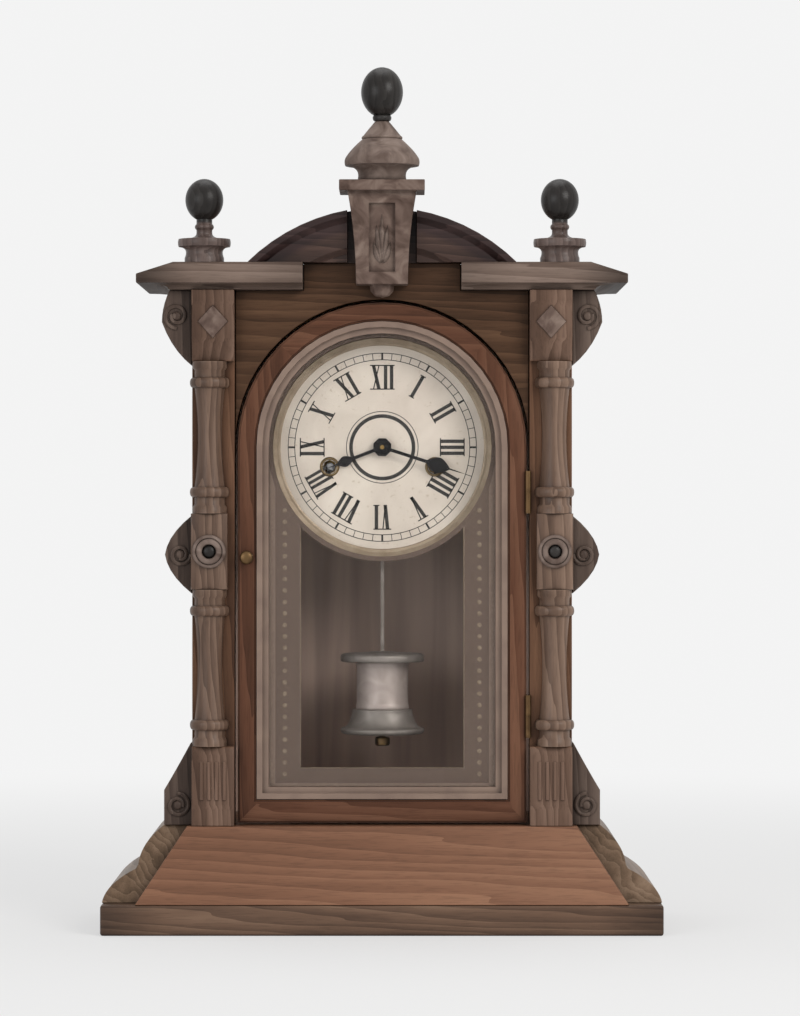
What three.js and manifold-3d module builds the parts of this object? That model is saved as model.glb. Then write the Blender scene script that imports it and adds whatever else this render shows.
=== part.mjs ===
// Shelf clock: a walnut parlour clock with an arched glass door, a striking
// movement and a jar pendulum. Millimetres, +Z up, the front faces -Y, and the
// origin is the middle of the underside of the plinth.
import * as THREE from 'three';
import { mergeVertices } from 'three/addons/utils/BufferGeometryUtils.js';
import Module from 'manifold-3d';

const wasm = await Module();
wasm.setup();

// Fits
const SEAT_GAP = 0.3;
const RUNNING_GAP = 0.3;
const DOOR_GAP = 2;
const SWEEP_GAP = 0.5;
const OVERLAP = 1;

// Base
const BASE_WIDTH = 367;
const BASE_DEPTH = 150;
const PLINTH_HEIGHT = 20;
const BASE_HEIGHT = 70;
const BASE_SHOULDER_WIDTH = 287;
const BASE_LOWER_LOBE_WIDTH = 22;
const BASE_LOWER_LOBE_HEIGHT = 22;
const BASE_LOBE_STEP = 2.5;
const BASE_PANEL_TOP_WIDTH = 256;
const BASE_PANEL_FOOT_WIDTH = 322;
const BASE_PANEL_THICKNESS = 14;
const BASE_LEDGE = 11;
const FLOOR_THICKNESS = 10;

// Carcass
const CASE_HEIGHT = 352;
const CARCASS_DEPTH = 102;
const SIDE_THICKNESS = 12;
const BACK_THICKNESS = 6;
const TOP_THICKNESS = 12;
const PILASTER_WIDTH = 28;
const PILASTER_THICKNESS = 18;
const HEAD_BOARD_THICKNESS = 15;

// Split columns on the pilasters
const COLUMN_INSET = 11.5;
const COLUMN_RADIUS = 10;
const COLUMN_WAIST_RADIUS = 8;
const COLUMN_RING_RADIUS = 13;
const COLUMN_RING_HEIGHT = 7;
const COLUMN_FOOT_HEIGHT = 52;
const COLUMN_BLOCK_RISE = 180;
const COLUMN_BLOCK_HEIGHT = 50;
const COLUMN_BLOCK_WIDTH = 24;
const COLUMN_BLOCK_DEPTH = 9;
const ROUNDEL_RADIUS = 11;
const ROUNDEL_DEPTH = 4;
const ROUNDEL_RIM = 2;
const CAPITAL_HEIGHT = 47;
const CAPITAL_NECK_HEIGHT = 12;
const CAPITAL_HEAD_HEIGHT = 7;
const PEDESTAL_FOOT_HEIGHT = 10;
const PEDESTAL_SHOULDER = 6;
const MOULDING_PROUD = 2;
const MOULDING_RISE = 4;

// Sawn ornaments on the sides of the case
const SIDE_ORNAMENT_DEPTH = 24;
const LOWER_BRACKET_HEIGHT = 54;
const LOWER_BRACKET_SHOULDER = 23;
const LOWER_BRACKET_REACH = 18.5;
const LOWER_BRACKET_TIP = 1;
const BOSS_HEIGHT = 52;
const BOSS_REACH = 18;
const BOSS_SWELL = 16.2;
const BOSS_RISE = 178;
const UPPER_BRACKET_HEIGHT = 50;
const UPPER_BRACKET_REACH = 20;
const UPPER_BRACKET_NOSE = 21;

// Cornice, hood and crest
const CORNICE_WIDTH = 322;
const CORNICE_HEIGHT = 18;
const CORNICE_LIP = 6;
const CORNICE_WEATHER = 8;
const CORNICE_FRONT_RUN = 5;
const CORNICE_END_RUN = 24;
const CORNICE_COVE = 21;
const CORNICE_OVERHANG = 17;
const CORNICE_BREAK = 104;
const HOOD_RADIUS = 126;
const HOOD_RISE = 36;
const HOOD_DEPTH = 28;
const HOOD_SETBACK = 5;
const HOOD_STEP = 4;
const KEYSTONE_WIDTH = 45;
const KEYSTONE_FOOT_WIDTH = 34;
const KEYSTONE_DROP = 15;
const KEYSTONE_HEIGHT = 61;
const KEYSTONE_DEPTH = 22;
const KEYSTONE_GROOVE = 3;
const KEYSTONE_MARGIN = 8;
const CREST_CAP_WIDTH = 56;
const CREST_CAP_HEIGHT = 7;
const CREST_CAP_DEPTH = 44;
const CREST_SETBACK = 14;
const URN_RADIUS = 24.5;
const URN_FOOT_RADIUS = 16;
const URN_WAIST_RADIUS = 14;
const URN_BELL_RADIUS = 21;
const URN_SHOULDER_RADIUS = 12.9;
const URN_NECK_RADIUS = 4.3;
const URN_NECK_HEIGHT = 12;
const URN_HEIGHT = 40;
const URN_RIM_RISE = 13;
const BALL_RADIUS = 13.8;
const BALL_HEIGHT = 33;
const BALL_SEAT_RADIUS = 6;
const BALL_SEAT_HEIGHT = 4;
const SIDE_FINIAL_SPACING = 234;
const SIDE_FINIAL_FOOT_RADIUS = 13;
const SIDE_FINIAL_RING_RADIUS = 17;
const SIDE_FINIAL_FOOT_HEIGHT = 3;
const SIDE_FINIAL_WAIST_RADIUS = 10;
const SIDE_FINIAL_RING_RISE = 13;
const FINIAL_RING_THICKNESS = 5;
const SIDE_FINIAL_STEM_RADIUS = 5.2;
const SIDE_FINIAL_STEM_HEIGHT = 9;
const SIDE_FINIAL_BALL_RADIUS = 12.5;
const SIDE_FINIAL_BALL_HEIGHT = 28;

// Door
const DOOR_WIDTH = 190;
const DOOR_FLOOR_GAP = 1.5;
const DOOR_THICKNESS = 15;
const DOOR_STILE = 12;
const DOOR_BOTTOM_RAIL = 15;
const DOOR_EDGE_ROUND = 1.2;
const SIGHT_WIDTH = 8;
const SIGHT_DEPTH = 6;
const GLASS_THICKNESS = 2;
const KNOB_RADIUS = 4.5;
const KNOB_LENGTH = 9;
const KNOB_RISE = 176;
const HINGE_LENGTH = 28;
const HINGE_BARREL_RADIUS = 2;
const HINGE_PIN_RADIUS = 1;
const HINGE_LEAF_THICKNESS = 0.6;
const HINGE_LEAF_DEPTH = 11;
const HINGE_FOOT_DISTANCE = 70;
const HINGE_HEAD_DISTANCE = 30;

// Dial and hands
const DIAL_RISE = 249;
const DIAL_RADIUS = 72;
const DIAL_THICKNESS = 1.2;
const DIAL_RIM_DEPTH = 4;
const DIAL_FRONT_SETBACK = 11;
const DIAL_FOOT_RADIUS = 1.6;
const DIAL_FOOT_RISE = 38;
const BEZEL_WIDTH = 4;
const BEZEL_DEPTH = 3;
const WINDING_HOLE_RADIUS = 4.6;
const WINDING_SPACING = 70;
const WINDING_DROP = 13;
const HAND_THICKNESS = 0.8;
const HAND_STEM_WIDTH = 2.2;
const HAND_HUB_MARGIN = 2.5;
const HOUR_HAND_LENGTH = 40;
const HOUR_HAND_CLEARANCE = 3;
const HOUR_LEAF_FOOT = 21;
const HOUR_LEAF_TOP = 32;
const HOUR_LEAF_WIDTH = 7.2;
const MINUTE_HAND_LENGTH = 59;
const MINUTE_HAND_CLEARANCE = 2;
const MINUTE_LEAF_FOOT = 31;
const MINUTE_LEAF_TOP = 47;
const MINUTE_LEAF_WIDTH = 10.6;
const HAND_HOUR_READING = 8;
const HAND_MINUTE_READING = 18;

// Movement frame
const PLATE_WIDTH = 104;
const PLATE_HEIGHT = 134;
const PLATE_DROP = 57;
const PLATE_THICKNESS = 2;
const PLATE_SPACING = 46;
const PLATE_FRONT_SETBACK = 25;
const PILLAR_RADIUS = 3.5;
const PILLAR_INSET = 6;
const PLATE_WINDOW_WIDTH = 18;
const PLATE_WINDOW_HEIGHT = 36;
const PLATE_WINDOW_INSET = 16;
const SPRING_STUD_RADIUS = 1.5;

// Wheels: modules, tooth counts and the planes they turn in
const ARBOR_RADIUS = 1.3;
const PIVOT_RADIUS = 0.9;
const WHEEL_THICKNESS = 1.5;
const WHEEL_RIM = 3;
const WHEEL_HUB_RADIUS = 4;
const PINION_LENGTH = 3.6;
const PINION_SHROUD = 0.6;
const PINION_TRUNDLES = 6;
const TRUNDLE_SHARE = 0.19;
const TOOTH_ROOT = 1.2;
const TOOTH_TIP = 0.8;
const TOOTH_HALF_STEP = 0.25;
const CROSSING_TRIM = 0.1;
const GREAT_TEETH = 60;
const CENTRE_TEETH = 60;
const CENTRE_MODULE = 0.8;
const THIRD_TEETH = 54;
const THIRD_MODULE = 0.75;
const ESCAPE_TEETH = 42;
const ESCAPE_RADIUS = 15;
const ESCAPE_TOOTH_DEPTH = 2.4;
const ESCAPE_TOOTH_LEAN = 0.1;
const ESCAPE_TOOTH_FOOT = 0.6;
const ESCAPE_RISE = 46;
const CANNON_TEETH = 8;
const MINUTE_WHEEL_TEETH = 24;
const MINUTE_PINION_TEETH = 8;
const HOUR_TEETH = 32;
const CANNON_MODULE = 0.9;
const CENTRE_PLANE = 2.5;
const THIRD_PLANE = 8;
const SPRING_PLANE = 17;
const STRIKE_PLANE = 35;
const TIME_PLANE = 40;
const CANNON_PLANE = 3;
const HOUR_PLANE = 6;
const HOUR_PIPE_RADIUS = 3.6;
const HOUR_PIPE_BORE = 2.6;
const SLEEVE_WALL = 0.7;
const NOSE_LENGTH = 0.5;
const SPRING_WIDTH = 15;
const SPRING_STRIP = 0.9;
const SPRING_INNER_RADIUS = 7;
const SPRING_OUTER_RADIUS = 22;
const SPRING_TURNS = 4;
const WINDING_ARBOR_RADIUS = 3;
const WINDING_SQUARE = 3.6;
const KEY_CLEARANCE = 1;
const RATCHET_TEETH = 14;
const RATCHET_RADIUS = 9;
const RATCHET_TOOTH_DEPTH = 2;
const RATCHET_TOOTH_LEAN = 0.1;

// Pendulum, verge, gong and hammer
const PENDULUM_PIVOT_RISE = 66;
const PENDULUM_LENGTH = 225;
const PENDULUM_SWING = 4;
const ROD_WIDTH = 2.4;
const ROD_THICKNESS = 1.2;
const ROD_EYE_RADIUS = 13;
const ROD_EYE_BORE = 11;
const ROD_SETBACK = 15;
const JAR_RADIUS = 18;
const JAR_HEIGHT = 31;
const JAR_CAP_RADIUS = 28;
const JAR_TOP_CAP_HEIGHT = 7;
const JAR_BOTTOM_CAP_HEIGHT = 17;
const JAR_COLLAR = 2;
const JAR_FLARE_RADIUS = 22;
const JAR_CAP_ROUND = 4;
const RATING_NUT_RADIUS = 5;
const RATING_NUT_HEIGHT = 8;
const SUSPENSION_POST_RADIUS = 3;
const SUSPENSION_POST_RISE = 5;
const VERGE_SPAN = 96;
const VERGE_STRIP = 3;
const VERGE_HUB_RADIUS = 3.2;
const CRUTCH_LENGTH = 36;
const CRUTCH_WIDTH = 1.8;
const CRUTCH_FORK_WIDTH = 6.4;
const CRUTCH_FORK_HEIGHT = 2.5;
const CRUTCH_STEP = 6.5;
const CRUTCH_THICKNESS = 1.5;
const FORK_GAP = 0.4;
const GONG_INNER_RADIUS = 18;
const GONG_PITCH = 6;
const GONG_TURNS = 3;
const GONG_WIRE_RADIUS = 1.2;
const GONG_STANDOFF = 5;
const GONG_BLOCK_WIDTH = 9;
const GONG_BLOCK_HEIGHT = 6;
const GONG_RISE = 6;
const HAMMER_HEAD_RADIUS = 3.6;
const HAMMER_HEAD_LENGTH = 8;
const HAMMER_ARM_LENGTH = 26;
const HAMMER_ARM_WIDTH = 2.4;
const HAMMER_REST_GAP = 1;

// Rounding: how many flats stand for a curve
const TURNED_SIDES = 16;
const SMALL_SIDES = 8;
const ARC_STEPS = 10;
const ARCH_STEPS = 24;
const LOOP_STEPS = 24;
const WIRE_SIDES = 6;

// Places worked out from the sizes
const backY = BASE_DEPTH / 2;
const baseFrontY = -BASE_DEPTH / 2;
const carcassFrontY = backY - CARCASS_DEPTH;
const pilasterFrontY = carcassFrontY - PILASTER_THICKNESS;
const backboardY = backY - BACK_THICKNESS;
const CASE_WIDTH = DOOR_WIDTH + 2 * (DOOR_GAP + PILASTER_WIDTH);
const caseHalf = CASE_WIDTH / 2;
const innerHalf = caseHalf - SIDE_THICKNESS;
const caseTop = BASE_HEIGHT + CASE_HEIGHT;
const corniceTop = caseTop + CORNICE_HEIGHT;
const corniceFrontY = pilasterFrontY - CORNICE_OVERHANG;
const hoodCentreZ = corniceTop + HOOD_RISE - HOOD_RADIUS;
const hoodFrontY = corniceFrontY + HOOD_SETBACK;
const keystoneBackY = carcassFrontY - HEAD_BOARD_THICKNESS - SEAT_GAP;
const keystoneFoot = corniceTop - KEYSTONE_DROP;
const keystoneTop = keystoneFoot + KEYSTONE_HEIGHT;
const keystoneY = keystoneBackY - KEYSTONE_DEPTH / 2;
const crestY = corniceFrontY + CREST_SETBACK;
const crestTop = keystoneTop + CREST_CAP_HEIGHT;
const urnTop = crestTop + URN_HEIGHT;
const doorHalf = DOOR_WIDTH / 2;
const doorFrontY = pilasterFrontY;
const doorBackY = doorFrontY + DOOR_THICKNESS;
const doorFoot = BASE_HEIGHT + DOOR_FLOOR_GAP;
const dialZ = BASE_HEIGHT + DIAL_RISE;
const pilasterInner = doorHalf + DOOR_GAP;
const columnX = caseHalf - COLUMN_INSET;
const columnFoot = BASE_HEIGHT + COLUMN_FOOT_HEIGHT;
const columnBlockFoot = BASE_HEIGHT + COLUMN_BLOCK_RISE - COLUMN_BLOCK_HEIGHT / 2;
const columnBlockTop = columnBlockFoot + COLUMN_BLOCK_HEIGHT;
const columnTop = caseTop - CAPITAL_HEIGHT;
const dialFrontY = carcassFrontY + DIAL_FRONT_SETBACK;
const dialBackY = dialFrontY + DIAL_THICKNESS;
const frontPlateY = dialFrontY + PLATE_FRONT_SETBACK;
const trainFrontY = frontPlateY + PLATE_THICKNESS;
const trainBackY = trainFrontY + PLATE_SPACING;
const movementBackY = trainBackY + PLATE_THICKNESS;
const plateFoot = dialZ - PLATE_DROP;
const plateTop = plateFoot + PLATE_HEIGHT;
const rodY = dialBackY + ROD_SETBACK - ROD_THICKNESS;
const windingX = WINDING_SPACING / 2;
const windingZ = dialZ - WINDING_DROP;
const escapeZ = dialZ + ESCAPE_RISE;
const pivotZ = dialZ + PENDULUM_PIVOT_RISE;

// Gearing: pitch radii follow the counts and the centre distances
const greatDistance = Math.hypot(windingX, WINDING_DROP);
const greatModule = 2 * greatDistance / (GREAT_TEETH + PINION_TRUNDLES);
const thirdDistance = CENTRE_MODULE * (CENTRE_TEETH + PINION_TRUNDLES) / 2;
const escapeDistance = THIRD_MODULE * (THIRD_TEETH + PINION_TRUNDLES) / 2;
const minuteDistance = CANNON_MODULE * (CANNON_TEETH + MINUTE_WHEEL_TEETH) / 2;
const hourModule = 2 * minuteDistance / (MINUTE_PINION_TEETH + HOUR_TEETH);
const thirdAlong = (ESCAPE_RISE ** 2 + thirdDistance ** 2 - escapeDistance ** 2) / (2 * ESCAPE_RISE);
const thirdX = -Math.sqrt(thirdDistance ** 2 - thirdAlong ** 2);
const thirdZ = dialZ + thirdAlong;
const minuteZ = dialZ - minuteDistance;

// Merge shared corners, drop empty triangles and turn the faces outward
function closed(geometry) {
  const bare = geometry.clone();
  bare.deleteAttribute('normal');
  bare.deleteAttribute('uv');
  const merged = mergeVertices(bare, 1e-4);
  const old = merged.index.array;
  const kept = [];
  for (let i = 0; i < old.length; i += 3) {
    const [a, b, c] = [old[i], old[i + 1], old[i + 2]];
    if (a !== b && b !== c && c !== a) {
      kept.push(a, b, c);
    }
  }
  const corners = [new THREE.Vector3(), new THREE.Vector3(), new THREE.Vector3()];
  let volume = 0;
  for (let i = 0; i < kept.length; i += 3) {
    corners.forEach((corner, k) => corner.fromBufferAttribute(merged.attributes.position, kept[i + k]));
    volume += corners[0].dot(corners[1].cross(corners[2])) / 6;
  }
  if (volume < 0) {
    kept.reverse();
  }
  merged.setIndex(kept);
  return merged;
}

// Boolean joins and cuts
function toManifold(geometry) {
  const shell = closed(geometry);
  const mesh = new wasm.Mesh({
    numProp: 3,
    vertProperties: new Float32Array(shell.attributes.position.array),
    triVerts: new Uint32Array(shell.index.array),
  });
  return new wasm.Manifold(mesh);
}

function fromManifold(solid) {
  const mesh = solid.getMesh();
  const geometry = new THREE.BufferGeometry();
  geometry.setAttribute('position', new THREE.BufferAttribute(new Float32Array(mesh.vertProperties), 3));
  geometry.setIndex(Array.from(mesh.triVerts));
  return geometry;
}

function join(first, ...rest) {
  return fromManifold(rest.reduce((sum, g) => sum.add(toManifold(g)), toManifold(first)));
}

function cut(first, ...rest) {
  return fromManifold(rest.reduce((sum, g) => sum.subtract(toManifold(g)), toManifold(first)));
}

function meet(first, second) {
  return fromManifold(toManifold(first).intersect(toManifold(second)));
}

// Solids: outlines pushed along an axis, boxes, rods and turnings
function alongY(outline, y0, y1, steps = ARC_STEPS) {
  const geometry = new THREE.ExtrudeGeometry(outline, {
    depth: y1 - y0, bevelEnabled: false, curveSegments: steps,
  });
  return geometry.rotateX(Math.PI / 2).translate(0, y1, 0);
}

function alongX(outline, x0, x1) {
  const geometry = new THREE.ExtrudeGeometry(outline, {
    depth: x1 - x0, bevelEnabled: false, curveSegments: ARC_STEPS,
  });
  const turn = new THREE.Matrix4().makeBasis(
    new THREE.Vector3(0, 1, 0), new THREE.Vector3(0, 0, 1), new THREE.Vector3(1, 0, 0));
  return geometry.applyMatrix4(turn).translate(x0, 0, 0);
}

function box(x0, x1, y0, y1, z0, z1) {
  const geometry = new THREE.BoxGeometry(x1 - x0, y1 - y0, z1 - z0);
  return geometry.translate((x0 + x1) / 2, (y0 + y1) / 2, (z0 + z1) / 2);
}

function rodAlongY(x, z, radius, y0, y1, sides = SMALL_SIDES) {
  return new THREE.CylinderGeometry(radius, radius, y1 - y0, sides).translate(x, (y0 + y1) / 2, z);
}

function rodAlongZ(x, y, radius, z0, z1, sides = SMALL_SIDES) {
  const geometry = new THREE.CylinderGeometry(radius, radius, z1 - z0, sides).rotateX(Math.PI / 2);
  return geometry.translate(x, y, (z0 + z1) / 2);
}

function turnedOnZ(path, x, y, sides = TURNED_SIDES, steps = 4) {
  return new THREE.LatheGeometry(path.getPoints(steps), sides).rotateX(Math.PI / 2).translate(x, y, 0);
}

function turnedOnY(path, x, z, sides = TURNED_SIDES, steps = 4) {
  return new THREE.LatheGeometry(path.getPoints(steps), sides).translate(x, 0, z);
}

function mirrored(geometry) {
  return closed(geometry.clone().scale(-1, 1, 1));
}

// Materials
function finish(colour, roughness, metalness = 0) {
  return new THREE.MeshStandardMaterial({ color: colour, roughness, metalness });
}

const walnut = finish(0x85624e, 0.45);
const darkWalnut = finish(0x3f2c25, 0.4);
const redWalnut = finish(0x5a3226, 0.42);
const burrWalnut = finish(0x735f50, 0.5);
const gilt = finish(0x8d7868, 0.45, 0.4);
const brass = finish(0xb08d4a, 0.35, 1);
const steel = finish(0x8f9298, 0.35, 1);
const blackSteel = finish(0x1c1a19, 0.5, 0.6);
const enamel = finish(0xd9cfbd, 0.5);
const silvered = finish(0xc9c4c0, 0.25, 0.9);
const iron = finish(0x2b2926, 0.7, 0.5);
const clearGlass = finish(0xdfe6e4, 0.05);
clearGlass.transparent = true;
clearGlass.opacity = 0.2;

const clock = new THREE.Group();

function piece(name, geometry, material) {
  const mesh = new THREE.Mesh(closed(geometry), material);
  mesh.name = name;
  clock.add(mesh);
}

function pieceEachSide(name, geometry, material) {
  piece(`${name}_right`, geometry, material);
  piece(`${name}_left`, mirrored(geometry), material);
}

function polygon(points) {
  return new THREE.Shape(points.map(([a, b]) => new THREE.Vector2(a, b)));
}

// Base: plinth board, scalloped ends, sloped front panel, back rail and the case floor
const baseHalf = BASE_WIDTH / 2;
const panelTopY = pilasterFrontY - BASE_LEDGE;
const endInner = BASE_PANEL_TOP_WIDTH / 2;

function scallop(outline, fromX, fromZ, toX, toZ) {
  const fullness = 0.1;
  const lift = 0.56;
  outline.lineTo(fromX, fromZ);
  outline.quadraticCurveTo(fromX + fullness * (toX - fromX), fromZ + lift * (toZ - fromZ), toX, toZ);
}

function baseEnd() {
  const lobeX = baseHalf - BASE_LOWER_LOBE_WIDTH;
  const lobeZ = PLINTH_HEIGHT + BASE_LOWER_LOBE_HEIGHT;
  const outline = new THREE.Shape();
  outline.moveTo(endInner, PLINTH_HEIGHT);
  scallop(outline, baseHalf, PLINTH_HEIGHT, lobeX, lobeZ);
  scallop(outline, lobeX - BASE_LOBE_STEP / 2, lobeZ + BASE_LOBE_STEP, BASE_SHOULDER_WIDTH / 2, BASE_HEIGHT);
  outline.lineTo(endInner, BASE_HEIGHT);
  const frontStep = BASE_PANEL_THICKNESS + SEAT_GAP;
  const side = polygon([
    [baseFrontY + frontStep, PLINTH_HEIGHT], [backY, PLINTH_HEIGHT],
    [backY, BASE_HEIGHT], [panelTopY + frontStep, BASE_HEIGHT],
  ]);
  return meet(alongY(outline, baseFrontY, backY), alongX(side, endInner, baseHalf));
}

function basePanel() {
  const section = polygon([
    [baseFrontY, PLINTH_HEIGHT], [baseFrontY + BASE_PANEL_THICKNESS, PLINTH_HEIGHT],
    [panelTopY + BASE_PANEL_THICKNESS, BASE_HEIGHT], [panelTopY, BASE_HEIGHT],
  ]);
  const foot = BASE_PANEL_FOOT_WIDTH / 2;
  const face = polygon([
    [-foot, PLINTH_HEIGHT], [foot, PLINTH_HEIGHT], [endInner, BASE_HEIGHT], [-endInner, BASE_HEIGHT],
  ]);
  return meet(alongX(section, -foot, foot), alongY(face, baseFrontY, panelTopY + BASE_PANEL_THICKNESS));
}

function addBase() {
  const floorHalf = endInner - SEAT_GAP;
  const floorFrontY = panelTopY + BASE_PANEL_THICKNESS + SEAT_GAP;
  piece('base_plinth', box(-baseHalf, baseHalf, baseFrontY, backY, 0, PLINTH_HEIGHT), darkWalnut);
  piece('base_front_panel', basePanel(), walnut);
  pieceEachSide('base_end', baseEnd(), darkWalnut);
  piece('case_floor', box(-floorHalf, floorHalf, floorFrontY, backboardY - SEAT_GAP,
    BASE_HEIGHT - FLOOR_THICKNESS, BASE_HEIGHT), walnut);
  piece('base_back_rail', box(-floorHalf, floorHalf, backboardY, backY, PLINTH_HEIGHT, BASE_HEIGHT), walnut);
}

// Carcass: sides, back, top and the head board with its arched opening
function headBoard() {
  const opening = doorHalf + DOOR_GAP;
  const half = pilasterInner - SEAT_GAP;
  const shoulder = CORNICE_BREAK / 2 - SEAT_GAP;
  const spring = Math.acos(half / opening);
  const outline = new THREE.Shape();
  outline.moveTo(half, dialZ + opening * Math.sin(spring));
  outline.lineTo(half, caseTop);
  outline.lineTo(shoulder, caseTop);
  outline.lineTo(shoulder, corniceTop);
  outline.lineTo(-shoulder, corniceTop);
  outline.lineTo(-shoulder, caseTop);
  outline.lineTo(-half, caseTop);
  outline.lineTo(-half, dialZ + opening * Math.sin(spring));
  outline.absarc(0, dialZ, opening, Math.PI - spring, spring, true);
  return alongY(outline, carcassFrontY - HEAD_BOARD_THICKNESS, carcassFrontY, ARCH_STEPS / 2);
}

function addCarcass() {
  const backHalf = innerHalf - SEAT_GAP;
  pieceEachSide('side_panel', box(innerHalf, caseHalf, carcassFrontY, backY, BASE_HEIGHT, caseTop), walnut);
  piece('backboard', box(-backHalf, backHalf, backboardY, backY, BASE_HEIGHT, caseTop), walnut);
  const topBoard = box(-caseHalf, caseHalf, carcassFrontY, backY, caseTop, caseTop + TOP_THICKNESS);
  piece('top_board', topBoard, walnut);
  piece('head_board', headBoard(), redWalnut);
}

// Pilasters with a pedestal and a capital, and the split columns between them
function pilaster() {
  const blockY = pilasterFrontY - COLUMN_BLOCK_DEPTH;
  const board = box(pilasterInner, caseHalf, pilasterFrontY, carcassFrontY, BASE_HEIGHT, caseTop);
  const mouldingY = blockY - MOULDING_PROUD;
  const footTop = BASE_HEIGHT + PEDESTAL_FOOT_HEIGHT;
  const neckTop = columnTop + CAPITAL_NECK_HEIGHT;
  const headFoot = caseTop - CAPITAL_HEAD_HEIGHT;
  const pedestal = polygon([
    [pilasterFrontY, BASE_HEIGHT], [pilasterFrontY, columnFoot],
    [blockY + MOULDING_PROUD, columnFoot], [blockY, columnFoot - PEDESTAL_SHOULDER],
    [blockY, footTop + MOULDING_RISE], [mouldingY, footTop], [mouldingY, BASE_HEIGHT],
  ]);
  const capital = polygon([
    [pilasterFrontY, columnTop], [blockY + 2 * MOULDING_PROUD, columnTop],
    [blockY + MOULDING_PROUD, neckTop], [blockY, neckTop + MOULDING_RISE],
    [blockY, headFoot - MOULDING_RISE], [mouldingY, headFoot],
    [mouldingY, caseTop], [pilasterFrontY, caseTop],
  ]);
  return join(board, alongX(pedestal, pilasterInner, caseHalf), alongX(capital, pilasterInner, caseHalf));
}

function ring(path, radius, z, height) {
  path.lineTo(path.currentPoint.x, z - height / 2);
  path.quadraticCurveTo(radius, z - height / 2, radius, z);
  path.quadraticCurveTo(radius, z + height / 2, COLUMN_RADIUS, z + height / 2);
}

function shaft(foot, top) {
  const footRing = foot + COLUMN_RING_HEIGHT * 2;
  const topRing = top - COLUMN_RING_HEIGHT * 2;
  const path = new THREE.Path();
  path.moveTo(0, foot);
  path.lineTo(COLUMN_RADIUS, foot);
  ring(path, COLUMN_RING_RADIUS, footRing, COLUMN_RING_HEIGHT);
  path.quadraticCurveTo(2 * COLUMN_WAIST_RADIUS - COLUMN_RADIUS, (footRing + topRing) / 2,
    COLUMN_RADIUS, topRing - COLUMN_RING_HEIGHT / 2);
  ring(path, COLUMN_RING_RADIUS, topRing, COLUMN_RING_HEIGHT);
  path.lineTo(COLUMN_RADIUS, top);
  path.lineTo(0, top);
  return turnedOnZ(path, columnX, pilasterFrontY, TURNED_SIDES, 2);
}

function roundel(faceY) {
  const path = new THREE.Path();
  path.moveTo(0, faceY + OVERLAP);
  path.lineTo(ROUNDEL_RADIUS, faceY + OVERLAP);
  path.lineTo(ROUNDEL_RADIUS, faceY - ROUNDEL_DEPTH / 2);
  path.lineTo(ROUNDEL_RADIUS - ROUNDEL_RIM, faceY - ROUNDEL_DEPTH);
  path.lineTo(ROUNDEL_RADIUS - 2 * ROUNDEL_RIM, faceY - ROUNDEL_DEPTH / 2);
  path.quadraticCurveTo(ROUNDEL_RADIUS / 3, faceY - ROUNDEL_DEPTH, 0, faceY - ROUNDEL_DEPTH);
  return turnedOnY(path, columnX, (columnBlockFoot + columnBlockTop) / 2, TURNED_SIDES, 3);
}

function column() {
  const blockY = pilasterFrontY - COLUMN_BLOCK_DEPTH;
  const half = COLUMN_BLOCK_WIDTH / 2;
  const frontHalf = box(columnX - 2 * COLUMN_RING_RADIUS, columnX + 2 * COLUMN_RING_RADIUS,
    pilasterFrontY - 2 * COLUMN_RING_RADIUS, pilasterFrontY, columnFoot, columnTop);
  const spindle = join(
    shaft(columnFoot, columnBlockFoot + SEAT_GAP),
    shaft(columnBlockTop - SEAT_GAP, columnTop),
    box(columnX - half, columnX + half, blockY, pilasterFrontY + half, columnBlockFoot, columnBlockTop),
    roundel(blockY),
  );
  return meet(spindle, frontHalf);
}

// Sawn brackets and bosses that break the outline of the sides
function sideOrnament(outline) {
  return alongY(outline, pilasterFrontY, pilasterFrontY + SIDE_ORNAMENT_DEPTH, ARC_STEPS / 2);
}

function lowerBracket() {
  const reach = caseHalf + LOWER_BRACKET_REACH;
  const shoulder = BASE_HEIGHT + LOWER_BRACKET_SHOULDER;
  const top = BASE_HEIGHT + LOWER_BRACKET_HEIGHT;
  const outline = new THREE.Shape();
  outline.moveTo(caseHalf, BASE_HEIGHT);
  outline.lineTo(reach, BASE_HEIGHT);
  outline.lineTo(reach, shoulder);
  const tip = caseHalf + LOWER_BRACKET_TIP;
  outline.quadraticCurveTo(caseHalf + LOWER_BRACKET_REACH / 2, (shoulder + top) / 2, tip, top);
  outline.lineTo(caseHalf, top);
  return sideOrnament(outline);
}

function sideBoss() {
  const middle = BASE_HEIGHT + BOSS_RISE;
  const swell = caseHalf + BOSS_SWELL;
  const outline = new THREE.Shape();
  outline.moveTo(caseHalf, middle - BOSS_HEIGHT / 2);
  outline.quadraticCurveTo(swell, middle - BOSS_HEIGHT / 4, caseHalf + BOSS_REACH, middle);
  outline.quadraticCurveTo(swell, middle + BOSS_HEIGHT / 4, caseHalf, middle + BOSS_HEIGHT / 2);
  return sideOrnament(outline);
}

function upperBracket() {
  const foot = caseTop - UPPER_BRACKET_HEIGHT;
  const nose = caseTop - UPPER_BRACKET_NOSE;
  const reach = caseHalf + UPPER_BRACKET_REACH;
  const outline = new THREE.Shape();
  outline.moveTo(caseHalf, foot);
  outline.quadraticCurveTo(reach - UPPER_BRACKET_REACH / 3, foot + UPPER_BRACKET_NOSE / 2, reach, nose);
  outline.quadraticCurveTo(reach, nose + UPPER_BRACKET_NOSE / 2, reach - UPPER_BRACKET_REACH / 4, caseTop);
  outline.lineTo(caseHalf, caseTop);
  return sideOrnament(outline);
}

function addFront() {
  pieceEachSide('pilaster', pilaster(), redWalnut);
  pieceEachSide('column', column(), darkWalnut);
  pieceEachSide('lower_bracket', lowerBracket(), darkWalnut);
  pieceEachSide('side_boss', sideBoss(), darkWalnut);
  pieceEachSide('upper_bracket', upperBracket(), darkWalnut);
}

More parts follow.
